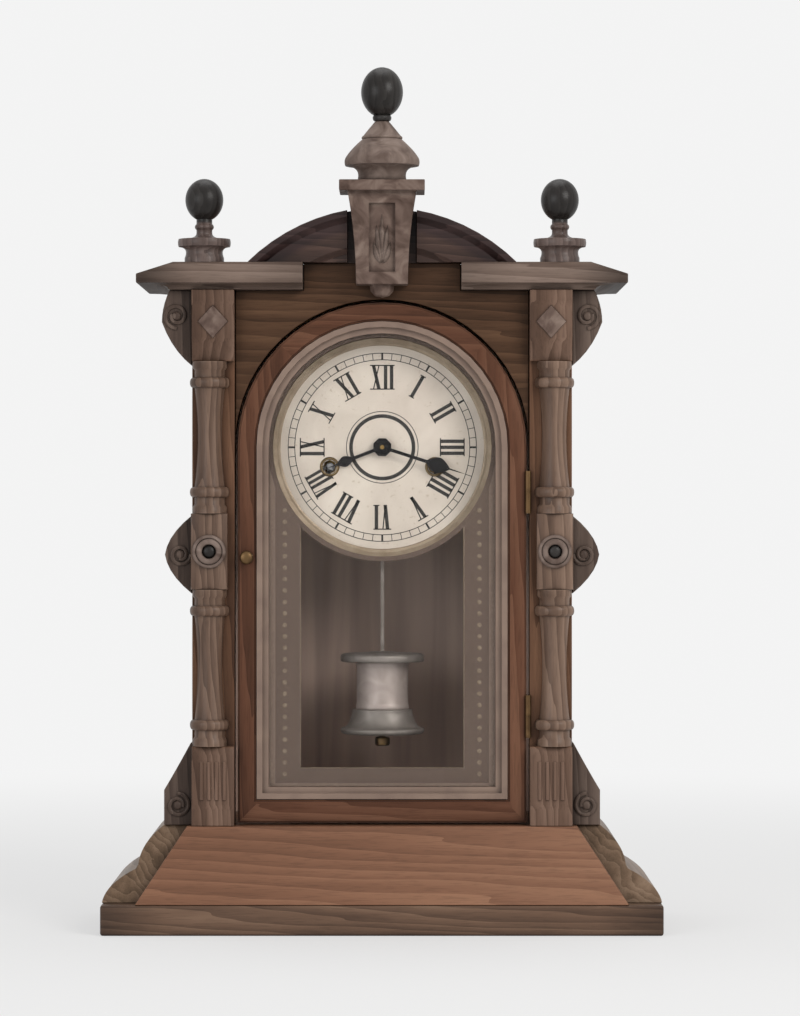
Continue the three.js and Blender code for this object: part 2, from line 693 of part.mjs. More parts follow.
// Cornice: coved on its front and its end, mitred where the two runs meet
function coveOutline(inner, tip, cove, weatherRun) {
  const toward = Math.sign(tip - inner);
  const lipTop = corniceTop - CORNICE_WEATHER;
  const lipFoot = lipTop - CORNICE_LIP;
  const outline = new THREE.Shape();
  outline.moveTo(inner, caseTop);
  outline.lineTo(tip - toward * cove, caseTop);
  outline.quadraticCurveTo(tip - toward * cove, lipFoot, tip, lipFoot);
  outline.lineTo(tip, lipTop);
  outline.lineTo(tip - toward * weatherRun, corniceTop);
  outline.lineTo(inner, corniceTop);
  return outline;
}

function cornice() {
  const inner = CORNICE_BREAK / 2;
  const tip = CORNICE_WIDTH / 2;
  const endOutline = coveOutline(inner, tip, CORNICE_COVE, CORNICE_END_RUN);
  const frontOutline = coveOutline(backY, corniceFrontY, CORNICE_OVERHANG / 2, CORNICE_FRONT_RUN);
  const run = alongY(endOutline, corniceFrontY, backY, ARC_STEPS / 2);
  const front = alongX(frontOutline, inner, tip);
  const well = box(inner - OVERLAP, caseHalf + SEAT_GAP, carcassFrontY - SEAT_GAP, backY + OVERLAP,
    caseTop - OVERLAP, corniceTop + OVERLAP);
  return cut(meet(run, front), well);
}

// Hood: an arched moulding that stands on the cornice, notched for the keystone
function hood() {
  const inner = HOOD_RADIUS - HOOD_RISE;
  const backHoodY = hoodFrontY + HOOD_DEPTH;
  const section = new THREE.Path();
  section.moveTo(inner, backHoodY);
  section.lineTo(inner, hoodFrontY + 2 * HOOD_STEP);
  section.lineTo(inner + 2 * HOOD_STEP, hoodFrontY + 2 * HOOD_STEP);
  section.lineTo(inner + 3 * HOOD_STEP, hoodFrontY + HOOD_STEP);
  section.lineTo(HOOD_RADIUS - 2 * HOOD_STEP, hoodFrontY + HOOD_STEP);
  section.lineTo(HOOD_RADIUS - HOOD_STEP, hoodFrontY);
  section.lineTo(HOOD_RADIUS, hoodFrontY);
  section.lineTo(HOOD_RADIUS, backHoodY);
  section.lineTo(inner, backHoodY);
  const arch = turnedOnY(section, 0, hoodCentreZ, ARCH_STEPS * 3, 1);
  const above = box(-HOOD_RADIUS, HOOD_RADIUS, hoodFrontY - OVERLAP, backHoodY + OVERLAP,
    corniceTop, corniceTop + HOOD_RISE + OVERLAP);
  const notch = KEYSTONE_WIDTH / 2 + SEAT_GAP;
  const seat = box(-notch, notch, hoodFrontY - OVERLAP, keystoneBackY + SEAT_GAP,
    corniceTop - OVERLAP, corniceTop + HOOD_RISE + OVERLAP);
  return cut(meet(arch, above), seat);
}

function keystone() {
  const half = KEYSTONE_WIDTH / 2;
  const foot = KEYSTONE_FOOT_WIDTH / 2;
  const frontY = keystoneBackY - KEYSTONE_DEPTH;
  const middle = (keystoneFoot + keystoneTop) / 2;
  const outline = new THREE.Shape();
  outline.moveTo(-foot, keystoneFoot);
  outline.lineTo(foot, keystoneFoot);
  outline.quadraticCurveTo(foot, middle, half, keystoneTop);
  outline.lineTo(-half, keystoneTop);
  outline.quadraticCurveTo(-foot, middle, -foot, keystoneFoot);
  const capHalf = CREST_CAP_WIDTH / 2;
  const cap = box(-capHalf, capHalf, crestY - CREST_CAP_DEPTH / 2, crestY + CREST_CAP_DEPTH / 2,
    keystoneTop, crestTop);
  const drop = new THREE.Path();
  drop.moveTo(0, keystoneFoot - foot / 2);
  drop.quadraticCurveTo(foot / 2, keystoneFoot - foot / 2, foot / 2, keystoneFoot + OVERLAP);
  drop.lineTo(0, keystoneFoot + OVERLAP);
  const recess = box(-foot / 2, foot / 2, frontY - OVERLAP, frontY + KEYSTONE_GROOVE,
    keystoneFoot + KEYSTONE_MARGIN, keystoneTop - KEYSTONE_MARGIN);
  const block = cut(alongY(outline, frontY, keystoneBackY, ARC_STEPS / 2), recess);
  return join(block, cap, turnedOnZ(drop, 0, keystoneY, SMALL_SIDES, 3));
}

// Turned finials
function ballOn(path, seat, seatZ, radius, height) {
  const rise = Math.sqrt(1 - (seat / radius) ** 2);
  const startAngle = -Math.asin(rise);
  const centreZ = seatZ + rise * height / 2;
  path.absellipse(0, centreZ, radius, height / 2, startAngle, Math.PI / 2, false, 0);
}

function urn() {
  const rimFoot = crestTop + URN_RIM_RISE - FINIAL_RING_THICKNESS / 2;
  const rimTop = rimFoot + FINIAL_RING_THICKNESS;
  const shoulder = urnTop - URN_NECK_HEIGHT;
  const path = new THREE.Path();
  path.moveTo(0, crestTop);
  path.lineTo(URN_FOOT_RADIUS, crestTop);
  path.quadraticCurveTo(URN_WAIST_RADIUS, rimFoot, URN_RADIUS, rimFoot);
  path.lineTo(URN_RADIUS, rimTop);
  path.quadraticCurveTo(URN_BELL_RADIUS, (rimTop + shoulder) / 2, URN_SHOULDER_RADIUS, shoulder);
  path.quadraticCurveTo(2 * URN_NECK_RADIUS, (shoulder + urnTop) / 2, URN_NECK_RADIUS, urnTop);
  path.lineTo(0, urnTop);
  return turnedOnZ(path, 0, crestY);
}

function crestBall() {
  const path = new THREE.Path();
  path.moveTo(0, urnTop);
  path.lineTo(BALL_SEAT_RADIUS, urnTop);
  path.lineTo(BALL_SEAT_RADIUS, urnTop + BALL_SEAT_HEIGHT);
  ballOn(path, BALL_SEAT_RADIUS, urnTop + BALL_SEAT_HEIGHT, BALL_RADIUS, BALL_HEIGHT);
  return turnedOnZ(path, 0, crestY);
}

function sideFinial() {
  const ringZ = corniceTop + SIDE_FINIAL_RING_RISE;
  const ringFoot = ringZ - FINIAL_RING_THICKNESS / 2;
  const ringTop = ringZ + FINIAL_RING_THICKNESS / 2;
  const stemZ = ringZ + SIDE_FINIAL_RING_RISE / 2;
  const seatZ = stemZ + SIDE_FINIAL_STEM_HEIGHT;
  const path = new THREE.Path();
  path.moveTo(0, corniceTop);
  path.lineTo(SIDE_FINIAL_FOOT_RADIUS, corniceTop);
  path.lineTo(SIDE_FINIAL_FOOT_RADIUS, corniceTop + SIDE_FINIAL_FOOT_HEIGHT);
  path.quadraticCurveTo(SIDE_FINIAL_WAIST_RADIUS, ringFoot, SIDE_FINIAL_RING_RADIUS, ringFoot);
  path.lineTo(SIDE_FINIAL_RING_RADIUS, ringTop);
  path.quadraticCurveTo(SIDE_FINIAL_STEM_RADIUS, ringTop, SIDE_FINIAL_STEM_RADIUS, stemZ);
  path.lineTo(SIDE_FINIAL_STEM_RADIUS, seatZ);
  ballOn(path, SIDE_FINIAL_STEM_RADIUS, seatZ, SIDE_FINIAL_BALL_RADIUS, SIDE_FINIAL_BALL_HEIGHT);
  return turnedOnZ(path, SIDE_FINIAL_SPACING / 2, (corniceFrontY + carcassFrontY) / 2);
}

function addCrown() {
  pieceEachSide('cornice', cornice(), darkWalnut);
  piece('hood_arch', hood(), darkWalnut);
  piece('keystone', keystone(), burrWalnut);
  piece('crest_urn', urn(), burrWalnut);
  piece('crest_ball', crestBall(), darkWalnut);
  pieceEachSide('side_finial', sideFinial(), darkWalnut);
}

// Door: arched frame, sight moulding, glass, pull knob and lift-off hinges
function archOutline(half, foot) {
  const outline = new THREE.Shape();
  outline.moveTo(-half, foot);
  outline.lineTo(half, foot);
  outline.lineTo(half, dialZ);
  outline.absarc(0, dialZ, half, 0, Math.PI, false);
  outline.lineTo(-half, foot);
  return outline;
}

function archFrame(half, foot, width, rail, y0, y1) {
  const outline = archOutline(half, foot);
  outline.holes.push(archOutline(half - width, foot + rail));
  return alongY(outline, y0, y1, ARCH_STEPS / 2);
}

function doorFrame() {
  const front = archFrame(doorHalf - DOOR_EDGE_ROUND, doorFoot + DOOR_EDGE_ROUND,
    DOOR_STILE - 2 * DOOR_EDGE_ROUND, DOOR_BOTTOM_RAIL - 2 * DOOR_EDGE_ROUND,
    doorFrontY, doorFrontY + DOOR_THICKNESS / 2);
  const body = archFrame(doorHalf, doorFoot, DOOR_STILE, DOOR_BOTTOM_RAIL,
    doorFrontY + DOOR_EDGE_ROUND, doorBackY);
  return join(front, body);
}

function sightMoulding(half, foot) {
  const lip = archFrame(half, foot, SIGHT_WIDTH / 2, SIGHT_WIDTH / 2, doorFrontY, doorFrontY + SIGHT_DEPTH);
  const bevelY = doorFrontY + SIGHT_DEPTH / 2;
  const bevel = archFrame(half, foot, SIGHT_WIDTH, SIGHT_WIDTH, bevelY, doorFrontY + SIGHT_DEPTH);
  return join(lip, bevel);
}

function knob() {
  const tipY = doorFrontY - KNOB_LENGTH;
  const stem = KNOB_RADIUS / 2;
  const path = new THREE.Path();
  path.moveTo(0, doorFrontY);
  path.lineTo(stem, doorFrontY);
  path.lineTo(stem, tipY + KNOB_LENGTH / 2);
  path.quadraticCurveTo(KNOB_RADIUS, tipY + KNOB_LENGTH / 2, KNOB_RADIUS, tipY + KNOB_LENGTH / 4);
  path.quadraticCurveTo(KNOB_RADIUS, tipY, 0, tipY);
  return turnedOnY(path, -doorHalf + DOOR_STILE / 2, BASE_HEIGHT + KNOB_RISE, SMALL_SIDES, 3);
}

const hingeX = doorHalf + DOOR_GAP / 2;
const hingeY = doorFrontY - HINGE_BARREL_RADIUS - SEAT_GAP;

function hingeLeaf(x0, z0, z1, knuckle0, knuckle1) {
  const leafFrontY = doorFrontY + SEAT_GAP;
  const x1 = x0 + HINGE_LEAF_THICKNESS;
  const leaf = box(x0, x1, leafFrontY, leafFrontY + HINGE_LEAF_DEPTH, z0, z1);
  const web = box(x0, x1, hingeY, leafFrontY + OVERLAP, knuckle0, knuckle1);
  return join(leaf, web, rodAlongZ(hingeX, hingeY, HINGE_BARREL_RADIUS, knuckle0, knuckle1));
}

function addHinge(name, middle) {
  const z0 = middle - HINGE_LENGTH / 2;
  const z1 = middle + HINGE_LENGTH / 2;
  const pin = rodAlongZ(hingeX, hingeY, HINGE_PIN_RADIUS, z0, z1);
  const bore = rodAlongZ(hingeX, hingeY, HINGE_PIN_RADIUS + RUNNING_GAP, middle, z1 + OVERLAP);
  const caseLeaf = hingeLeaf(pilasterInner - HINGE_LEAF_THICKNESS, z0, z1, z0, middle);
  const doorLeaf = hingeLeaf(doorHalf, z0, z1, middle + RUNNING_GAP, z1);
  piece(`case_hinge_${name}`, join(caseLeaf, pin), brass);
  piece(`door_hinge_${name}`, cut(doorLeaf, bore), brass);
}

function addDoor() {
  const sightHalf = doorHalf - DOOR_STILE - SEAT_GAP;
  const sightFoot = doorFoot + DOOR_BOTTOM_RAIL + SEAT_GAP;
  const glassY = doorFrontY + SIGHT_DEPTH + SEAT_GAP;
  piece('door_frame', doorFrame(), redWalnut);
  piece('door_sight_moulding', sightMoulding(sightHalf, sightFoot), gilt);
  const paneOutline = archOutline(sightHalf, sightFoot);
  piece('door_glass', alongY(paneOutline, glassY, glassY + GLASS_THICKNESS, ARCH_STEPS / 2),
    clearGlass);
  piece('door_knob', knob(), brass);
  addHinge('lower', doorFoot + HINGE_FOOT_DISTANCE);
  addHinge('upper', dialZ - HINGE_HEAD_DISTANCE);
}

// Dial pan on its feet, and the bezel round it
const hourHandY = dialFrontY - HAND_THICKNESS - HOUR_HAND_CLEARANCE;
const minuteHandY = hourHandY - HAND_THICKNESS - MINUTE_HAND_CLEARANCE;

function dialPan() {
  const hole = HOUR_PIPE_RADIUS + SWEEP_GAP;
  const rimY = dialFrontY + DIAL_RIM_DEPTH;
  const section = new THREE.Path();
  section.moveTo(hole, dialFrontY);
  section.lineTo(DIAL_RADIUS, dialFrontY);
  section.lineTo(DIAL_RADIUS, rimY);
  section.lineTo(DIAL_RADIUS - DIAL_THICKNESS, rimY);
  section.lineTo(DIAL_RADIUS - DIAL_THICKNESS, dialBackY);
  section.lineTo(hole, dialBackY);
  section.lineTo(hole, dialFrontY);
  let pan = turnedOnY(section, 0, dialZ, ARCH_STEPS * 2, 1);
  const footX = PLATE_WIDTH / 2 - PILLAR_INSET;
  for (const side of [-1, 1]) {
    pan = cut(pan, rodAlongY(side * windingX, windingZ, WINDING_HOLE_RADIUS,
      dialFrontY - OVERLAP, dialBackY + OVERLAP));
    for (const level of [-1, 1]) {
      const footZ = dialZ + level * DIAL_FOOT_RISE;
      const footFrontY = dialBackY - DIAL_THICKNESS / 2;
      pan = join(pan, rodAlongY(side * footX, footZ, DIAL_FOOT_RADIUS, footFrontY, frontPlateY));
    }
  }
  return pan;
}

function bezel() {
  const inner = DIAL_RADIUS - BEZEL_WIDTH / 2;
  const outer = inner + BEZEL_WIDTH;
  const section = new THREE.Path();
  section.moveTo(inner, dialFrontY);
  section.lineTo(outer, dialFrontY);
  section.lineTo(outer, dialFrontY - BEZEL_DEPTH / 2);
  section.lineTo(outer - BEZEL_WIDTH / 3, dialFrontY - BEZEL_DEPTH);
  section.lineTo(inner, dialFrontY - BEZEL_DEPTH / 3);
  section.lineTo(inner, dialFrontY);
  return turnedOnY(section, 0, dialZ, ARCH_STEPS * 2, 1);
}

// Hands: a tapered stem with a leaf near the tip, turned to the time shown
function hand(length, leafFoot, leafTop, leafWidth, bore, frontY, turns) {
  const hub = bore + HAND_HUB_MARGIN;
  const stem = HAND_STEM_WIDTH / 2;
  const leaf = leafWidth / 2;
  const leafMiddle = (leafFoot + leafTop) / 2;
  const outline = new THREE.Shape();
  outline.moveTo(-stem, bore);
  outline.lineTo(-stem, leafFoot);
  outline.quadraticCurveTo(-leaf, leafFoot + leaf, -leaf, leafMiddle);
  outline.quadraticCurveTo(-leaf, leafTop - leaf, -stem / 2, leafTop);
  outline.lineTo(0, length);
  outline.lineTo(stem / 2, leafTop);
  outline.quadraticCurveTo(leaf, leafTop - leaf, leaf, leafMiddle);
  outline.quadraticCurveTo(leaf, leafFoot + leaf, stem, leafFoot);
  outline.lineTo(stem, bore);
  const backHandY = frontY + HAND_THICKNESS;
  const blade = join(alongY(outline, frontY, backHandY, 4), rodAlongY(0, 0, hub, frontY, backHandY));
  const pierced = cut(blade, rodAlongY(0, 0, bore, frontY - OVERLAP, backHandY + OVERLAP));
  return pierced.rotateY(2 * Math.PI * turns).translate(0, 0, dialZ);
}

function addDial() {
  const minuteTurns = HAND_MINUTE_READING / 60;
  const hourTurns = (HAND_HOUR_READING + minuteTurns) / 12;
  piece('dial_pan', dialPan(), enamel);
  piece('dial_bezel', bezel(), brass);
  piece('hour_hand', hand(HOUR_HAND_LENGTH, HOUR_LEAF_FOOT, HOUR_LEAF_TOP, HOUR_LEAF_WIDTH,
    HOUR_PIPE_RADIUS + SEAT_GAP, hourHandY, hourTurns), blackSteel);
  piece('minute_hand', hand(MINUTE_HAND_LENGTH, MINUTE_LEAF_FOOT, MINUTE_LEAF_TOP, MINUTE_LEAF_WIDTH,
    ARBOR_RADIUS + SEAT_GAP, minuteHandY, minuteTurns), blackSteel);
}

// Wheels: pointed teeth, four crossings and a bore, one tooth set at a chosen angle
function onCircle(radius, angle) {
  return [radius * Math.cos(angle), radius * Math.sin(angle)];
}

function wheelOutline(teeth, module, toothAngle) {
  const pitchRadius = module * teeth / 2;
  const root = pitchRadius - TOOTH_ROOT * module;
  const tip = pitchRadius + TOOTH_TIP * module;
  const step = 2 * Math.PI / teeth;
  const half = TOOTH_HALF_STEP * step;
  const points = [];
  for (let i = 0; i < teeth; i += 1) {
    const angle = toothAngle + i * step;
    points.push(onCircle(root, angle - half), onCircle(tip, angle), onCircle(root, angle + half));
  }
  return polygon(points);
}

function roundHole(x, z, radius, sides = SMALL_SIDES) {
  const hole = new THREE.Path();
  for (let i = 0; i < sides; i += 1) {
    const [dx, dz] = onCircle(radius / Math.cos(Math.PI / sides), 2 * Math.PI * i / sides);
    if (i === 0) {
      hole.moveTo(x + dx, z + dz);
    } else {
      hole.lineTo(x + dx, z + dz);
    }
  }
  return hole;
}

function addCrossings(outline, inner, outer) {
  const arms = 4;
  const quarter = 2 * Math.PI / arms;
  for (let i = 0; i < arms; i += 1) {
    const from = i * quarter + WHEEL_RIM / 2 / inner;
    const to = (i + 1) * quarter - WHEEL_RIM / 2 / inner;
    const hole = new THREE.Path();
    hole.absarc(0, 0, outer, from + CROSSING_TRIM, to - CROSSING_TRIM, false);
    hole.absarc(0, 0, inner, to, from, true);
    outline.holes.push(hole);
  }
}

function wheel(teeth, module, toothAngle, bore, y0) {
  const outline = wheelOutline(teeth, module, toothAngle);
  const rimInner = module * (teeth / 2 - TOOTH_ROOT) - WHEEL_RIM;
  const hub = WHEEL_HUB_RADIUS + bore;
  if (rimInner > hub + WHEEL_RIM) {
    addCrossings(outline, hub, rimInner);
  }
  if (bore > 0) {
    outline.holes.push(roundHole(0, 0, bore));
  }
  return alongY(outline, y0, y0 + WHEEL_THICKNESS, 2);
}

// Lantern pinion: round trundles between two shrouds, centred on a wheel's plane
function lantern(module, gapAngle, planeY) {
  const radius = module * PINION_TRUNDLES / 2;
  const trundle = TRUNDLE_SHARE * Math.PI * module;
  const shroud = radius + trundle + PINION_SHROUD;
  const middle = planeY + WHEEL_THICKNESS / 2;
  const y0 = middle - PINION_LENGTH / 2;
  const y1 = middle + PINION_LENGTH / 2;
  const frontShroud = rodAlongY(0, 0, shroud, y0, y0 + PINION_SHROUD);
  const backShroud = rodAlongY(0, 0, shroud, y1 - PINION_SHROUD, y1);
  const parts = [frontShroud, backShroud];
  for (let i = 0; i < PINION_TRUNDLES; i += 1) {
    const [x, z] = onCircle(radius, gapAngle + 2 * Math.PI * (i + 0.5) / PINION_TRUNDLES);
    parts.push(rodAlongY(x, z, trundle, y0, y1, WIRE_SIDES));
  }
  return parts;
}

// Arbor that runs between the plates on thinner pivots
function arbor() {
  return [
    rodAlongY(0, 0, ARBOR_RADIUS, trainFrontY + RUNNING_GAP, trainBackY - RUNNING_GAP),
    rodAlongY(0, 0, PIVOT_RADIUS, frontPlateY, movementBackY),
  ];
}

const centrePlaneY = trainFrontY + CENTRE_PLANE;
const thirdPlaneY = trainFrontY + THIRD_PLANE;
const timePlaneY = trainFrontY + TIME_PLANE;
const strikePlaneY = trainFrontY + STRIKE_PLANE;
const cannonPlaneY = frontPlateY - CANNON_PLANE;
const hourPlaneY = frontPlateY - HOUR_PLANE;
const greatAngle = Math.atan2(WINDING_DROP, -windingX);
const thirdAngle = Math.atan2(thirdAlong, thirdX);
const escapeAngle = Math.atan2(escapeZ - thirdZ, -thirdX);

function centreWheel() {
  const front = rodAlongY(0, 0, ARBOR_RADIUS, minuteHandY - OVERLAP, trainFrontY + RUNNING_GAP + OVERLAP);
  const cannon = wheel(CANNON_TEETH, CANNON_MODULE, -Math.PI / 2 + Math.PI / CANNON_TEETH, 0, cannonPlaneY);
  const seat = rodAlongY(0, 0, HOUR_PIPE_BORE - RUNNING_GAP, minuteHandY + HAND_THICKNESS + SEAT_GAP,
    cannonPlaneY + OVERLAP);
  return join(...arbor(), front, seat, cannon,
    wheel(CENTRE_TEETH, CENTRE_MODULE, thirdAngle, 0, centrePlaneY),
    ...lantern(greatModule, greatAngle + Math.PI, timePlaneY)).translate(0, 0, dialZ);
}

function thirdWheel() {
  return join(...arbor(), wheel(THIRD_TEETH, THIRD_MODULE, escapeAngle, 0, thirdPlaneY),
    ...lantern(CENTRE_MODULE, thirdAngle + Math.PI, centrePlaneY)).translate(thirdX, 0, thirdZ);
}

function escapeWheel() {
  const step = 2 * Math.PI / ESCAPE_TEETH;
  const root = ESCAPE_RADIUS - ESCAPE_TOOTH_DEPTH;
  const points = [];
  for (let i = 0; i < ESCAPE_TEETH; i += 1) {
    points.push(onCircle(root, i * step), onCircle(ESCAPE_RADIUS, (i + ESCAPE_TOOTH_LEAN) * step));
    points.push(onCircle(root, (i + ESCAPE_TOOTH_FOOT) * step));
  }
  const outline = polygon(points);
  addCrossings(outline, WHEEL_HUB_RADIUS, root - WHEEL_RIM / 2);
  return join(...arbor(), alongY(outline, centrePlaneY, centrePlaneY + WHEEL_THICKNESS, 2),
    ...lantern(THIRD_MODULE, escapeAngle + Math.PI, thirdPlaneY)).translate(0, 0, escapeZ);
}

function minuteWheel() {
  const stud = ARBOR_RADIUS + RUNNING_GAP;
  const big = wheel(MINUTE_WHEEL_TEETH, CANNON_MODULE, Math.PI / 2, 0, cannonPlaneY);
  const smallTurn = Math.PI / 2 + Math.PI / MINUTE_PINION_TEETH;
  const small = wheel(MINUTE_PINION_TEETH, hourModule, smallTurn, 0, hourPlaneY);
  const sleeve = rodAlongY(0, 0, stud + SLEEVE_WALL, hourPlaneY, cannonPlaneY + WHEEL_THICKNESS);
  const bore = rodAlongY(0, 0, stud, hourPlaneY - OVERLAP, frontPlateY);
  return cut(join(big, small, sleeve), bore).translate(0, 0, minuteZ);
}

function hourWheel() {
  const big = wheel(HOUR_TEETH, hourModule, -Math.PI / 2, 0, hourPlaneY);
  const pipe = rodAlongY(0, 0, HOUR_PIPE_RADIUS, hourHandY - NOSE_LENGTH, hourPlaneY + WHEEL_THICKNESS);
  const bore = rodAlongY(0, 0, HOUR_PIPE_BORE, hourHandY - OVERLAP, hourPlaneY + WHEEL_THICKNESS + OVERLAP);
  return cut(join(big, pipe), bore).translate(0, 0, dialZ);
}

// Winding side: great wheel, winding arbor with its ratchet, and the mainspring
function greatWheel(side, planeY) {
  const toothAngle = side > 0 ? greatAngle : Math.PI - greatAngle;
  const bore = WINDING_ARBOR_RADIUS + RUNNING_GAP;
  return wheel(GREAT_TEETH, greatModule, toothAngle, bore, planeY).translate(side * windingX, 0, windingZ);
}

function windingArbor(side, planeY) {
  const step = 2 * Math.PI / RATCHET_TEETH;
  const points = [];
  for (let i = 0; i < RATCHET_TEETH; i += 1) {
    points.push(onCircle(RATCHET_RADIUS - RATCHET_TOOTH_DEPTH, i * step));
    points.push(onCircle(RATCHET_RADIUS, (i + RATCHET_TOOTH_LEAN) * step));
  }
  const ratchetY = planeY - RUNNING_GAP - WHEEL_THICKNESS;
  const springY = trainFrontY + SPRING_PLANE;
  const drum = SPRING_INNER_RADIUS - SPRING_STRIP / 2 - RUNNING_GAP;
  const half = WINDING_SQUARE / 2;
  return join(
    rodAlongY(0, 0, WINDING_ARBOR_RADIUS, frontPlateY - PLATE_THICKNESS, trainBackY - RUNNING_GAP),
    rodAlongY(0, 0, PIVOT_RADIUS * 2, trainFrontY, movementBackY),
    rodAlongY(0, 0, drum, springY, springY + SPRING_WIDTH),
    alongY(polygon(points), ratchetY, ratchetY + WHEEL_THICKNESS),
    box(-half, half, dialBackY + KEY_CLEARANCE, frontPlateY, -half, half),
  ).translate(side * windingX, 0, windingZ);
}

function mainspring(side) {
  const steps = SPRING_TURNS * LOOP_STEPS * 2 / 3;
  const outer = [];
  const inner = [];
  for (let i = 0; i <= steps; i += 1) {
    const along = i / steps;
    const angle = -Math.PI / 2 - side * 2 * Math.PI * SPRING_TURNS * (1 - along);
    const radius = SPRING_INNER_RADIUS + along * (SPRING_OUTER_RADIUS - SPRING_INNER_RADIUS);
    outer.push(onCircle(radius + SPRING_STRIP / 2, angle));
    inner.push(onCircle(radius - SPRING_STRIP / 2, angle));
  }
  const y0 = trainFrontY + SPRING_PLANE;
  return alongY(polygon([...outer, ...inner.reverse()]), y0, y0 + SPRING_WIDTH)
    .translate(side * windingX, 0, windingZ);
}

// Gong: a flat coil of round wire on a block, and the hammer beside it
const gongY = backboardY - GONG_STANDOFF;
const gongZ = dialZ + GONG_RISE;

function gongRoute() {
  const lead = 2 * GONG_WIRE_RADIUS;
  const route = [[GONG_INNER_RADIUS, -lead]];
  for (let i = 0; i <= GONG_TURNS * LOOP_STEPS; i += 1) {
    route.push(onCircle(GONG_INNER_RADIUS + GONG_PITCH * i / LOOP_STEPS, 2 * Math.PI * i / LOOP_STEPS));
  }
  const [endX, endZ] = route[route.length - 1];
  route.push([endX, endZ + lead]);
  return route;
}

function leastGap(route, radius) {
  let least = Infinity;
  for (let i = 0; i < route.length; i += 1) {
    for (let j = i + LOOP_STEPS / 2; j < route.length; j += 1) {
      least = Math.min(least, Math.hypot(route[i][0] - route[j][0], route[i][1] - route[j][1]));
    }
  }
  return least - 2 * radius;
}

function wireAlong(route, radius) {
  const positions = [];
  const index = [];
  route.forEach(([x, z], i) => {
    const [beforeX, beforeZ] = route[Math.max(i - 1, 0)];
    const [afterX, afterZ] = route[Math.min(i + 1, route.length - 1)];
    const length = Math.hypot(afterX - beforeX, afterZ - beforeZ);
    const acrossX = (afterZ - beforeZ) / length;
    const acrossZ = (beforeX - afterX) / length;
    for (let k = 0; k < WIRE_SIDES; k += 1) {
      const [across, depth] = onCircle(radius, 2 * Math.PI * k / WIRE_SIDES);
      positions.push(x + across * acrossX, depth, z + across * acrossZ);
    }
  });
  for (let i = 0; i + 1 < route.length; i += 1) {
    for (let k = 0; k < WIRE_SIDES; k += 1) {
      const a = i * WIRE_SIDES + k;
      const b = i * WIRE_SIDES + (k + 1) % WIRE_SIDES;
      index.push(a, b, b + WIRE_SIDES, a, b + WIRE_SIDES, a + WIRE_SIDES);
    }
  }
  const last = (route.length - 1) * WIRE_SIDES;
  for (let k = 1; k + 1 < WIRE_SIDES; k += 1) {
    index.push(0, k + 1, k, last, last + k, last + k + 1);
  }
  const geometry = new THREE.BufferGeometry();
  geometry.setAttribute('position', new THREE.BufferAttribute(new Float32Array(positions), 3));
  geometry.setIndex(index);
  return geometry;
}

function gongCoil() {
  const route = gongRoute();
  console.log(`gong coil: least gap between turns ${leastGap(route, GONG_WIRE_RADIUS).toFixed(2)} mm`);
  return wireAlong(route, GONG_WIRE_RADIUS).translate(0, gongY, gongZ);
}

function gongStand() {
  const top = gongZ - 2 * GONG_WIRE_RADIUS - SEAT_GAP;
  const right = GONG_INNER_RADIUS + GONG_WIRE_RADIUS;
  return box(right - GONG_BLOCK_WIDTH, right, gongY - 2 * GONG_WIRE_RADIUS, backboardY,
    top - GONG_BLOCK_HEIGHT, top);
}

const gongLeft = -(GONG_INNER_RADIUS + GONG_PITCH * (GONG_TURNS - 0.5) + GONG_WIRE_RADIUS);
const hammerX = gongLeft - HAMMER_REST_GAP - HAMMER_HEAD_LENGTH / 2;
const hammerZ = gongZ + HAMMER_ARM_LENGTH;

function hammer() {
  const half = HAMMER_ARM_WIDTH / 2;
  const radius = HAMMER_HEAD_RADIUS;
  const head = new THREE.CylinderGeometry(radius, radius, HAMMER_HEAD_LENGTH, SMALL_SIDES)
    .rotateZ(Math.PI / 2).translate(0, gongY, -HAMMER_ARM_LENGTH);
  return join(
    rodAlongY(0, 0, ARBOR_RADIUS, trainFrontY + RUNNING_GAP, gongY + half),
    rodAlongY(0, 0, PIVOT_RADIUS, frontPlateY, trainFrontY + OVERLAP),
    box(-half, half, gongY - half, gongY + half, -HAMMER_ARM_LENGTH, 0),
    head,
  ).translate(hammerX, 0, hammerZ);
}

// Plates: holes for every arbor, with studs on the front and pillars on the back
function plate(holes, y0, y1) {
  const half = PLATE_WIDTH / 2;
  const windowFoot = dialZ + PLATE_WINDOW_INSET;
  const windowTop = windowFoot + PLATE_WINDOW_HEIGHT;
  const windowOuter = half - PLATE_WINDOW_INSET;
  const windowInner = windowOuter - PLATE_WINDOW_WIDTH;
  const bores = holes.map(([x, z, radius]) => (
    rodAlongY(x, z, radius + RUNNING_GAP, y0 - OVERLAP, y1 + OVERLAP)));
  return cut(
    box(-half, half, y0, y1, plateFoot, plateTop),
    box(windowInner, windowOuter, y0 - OVERLAP, y1 + OVERLAP, windowFoot, windowTop),
    box(-windowOuter, -windowInner, y0 - OVERLAP, y1 + OVERLAP, windowFoot, windowTop),
    ...bores,
  );
}

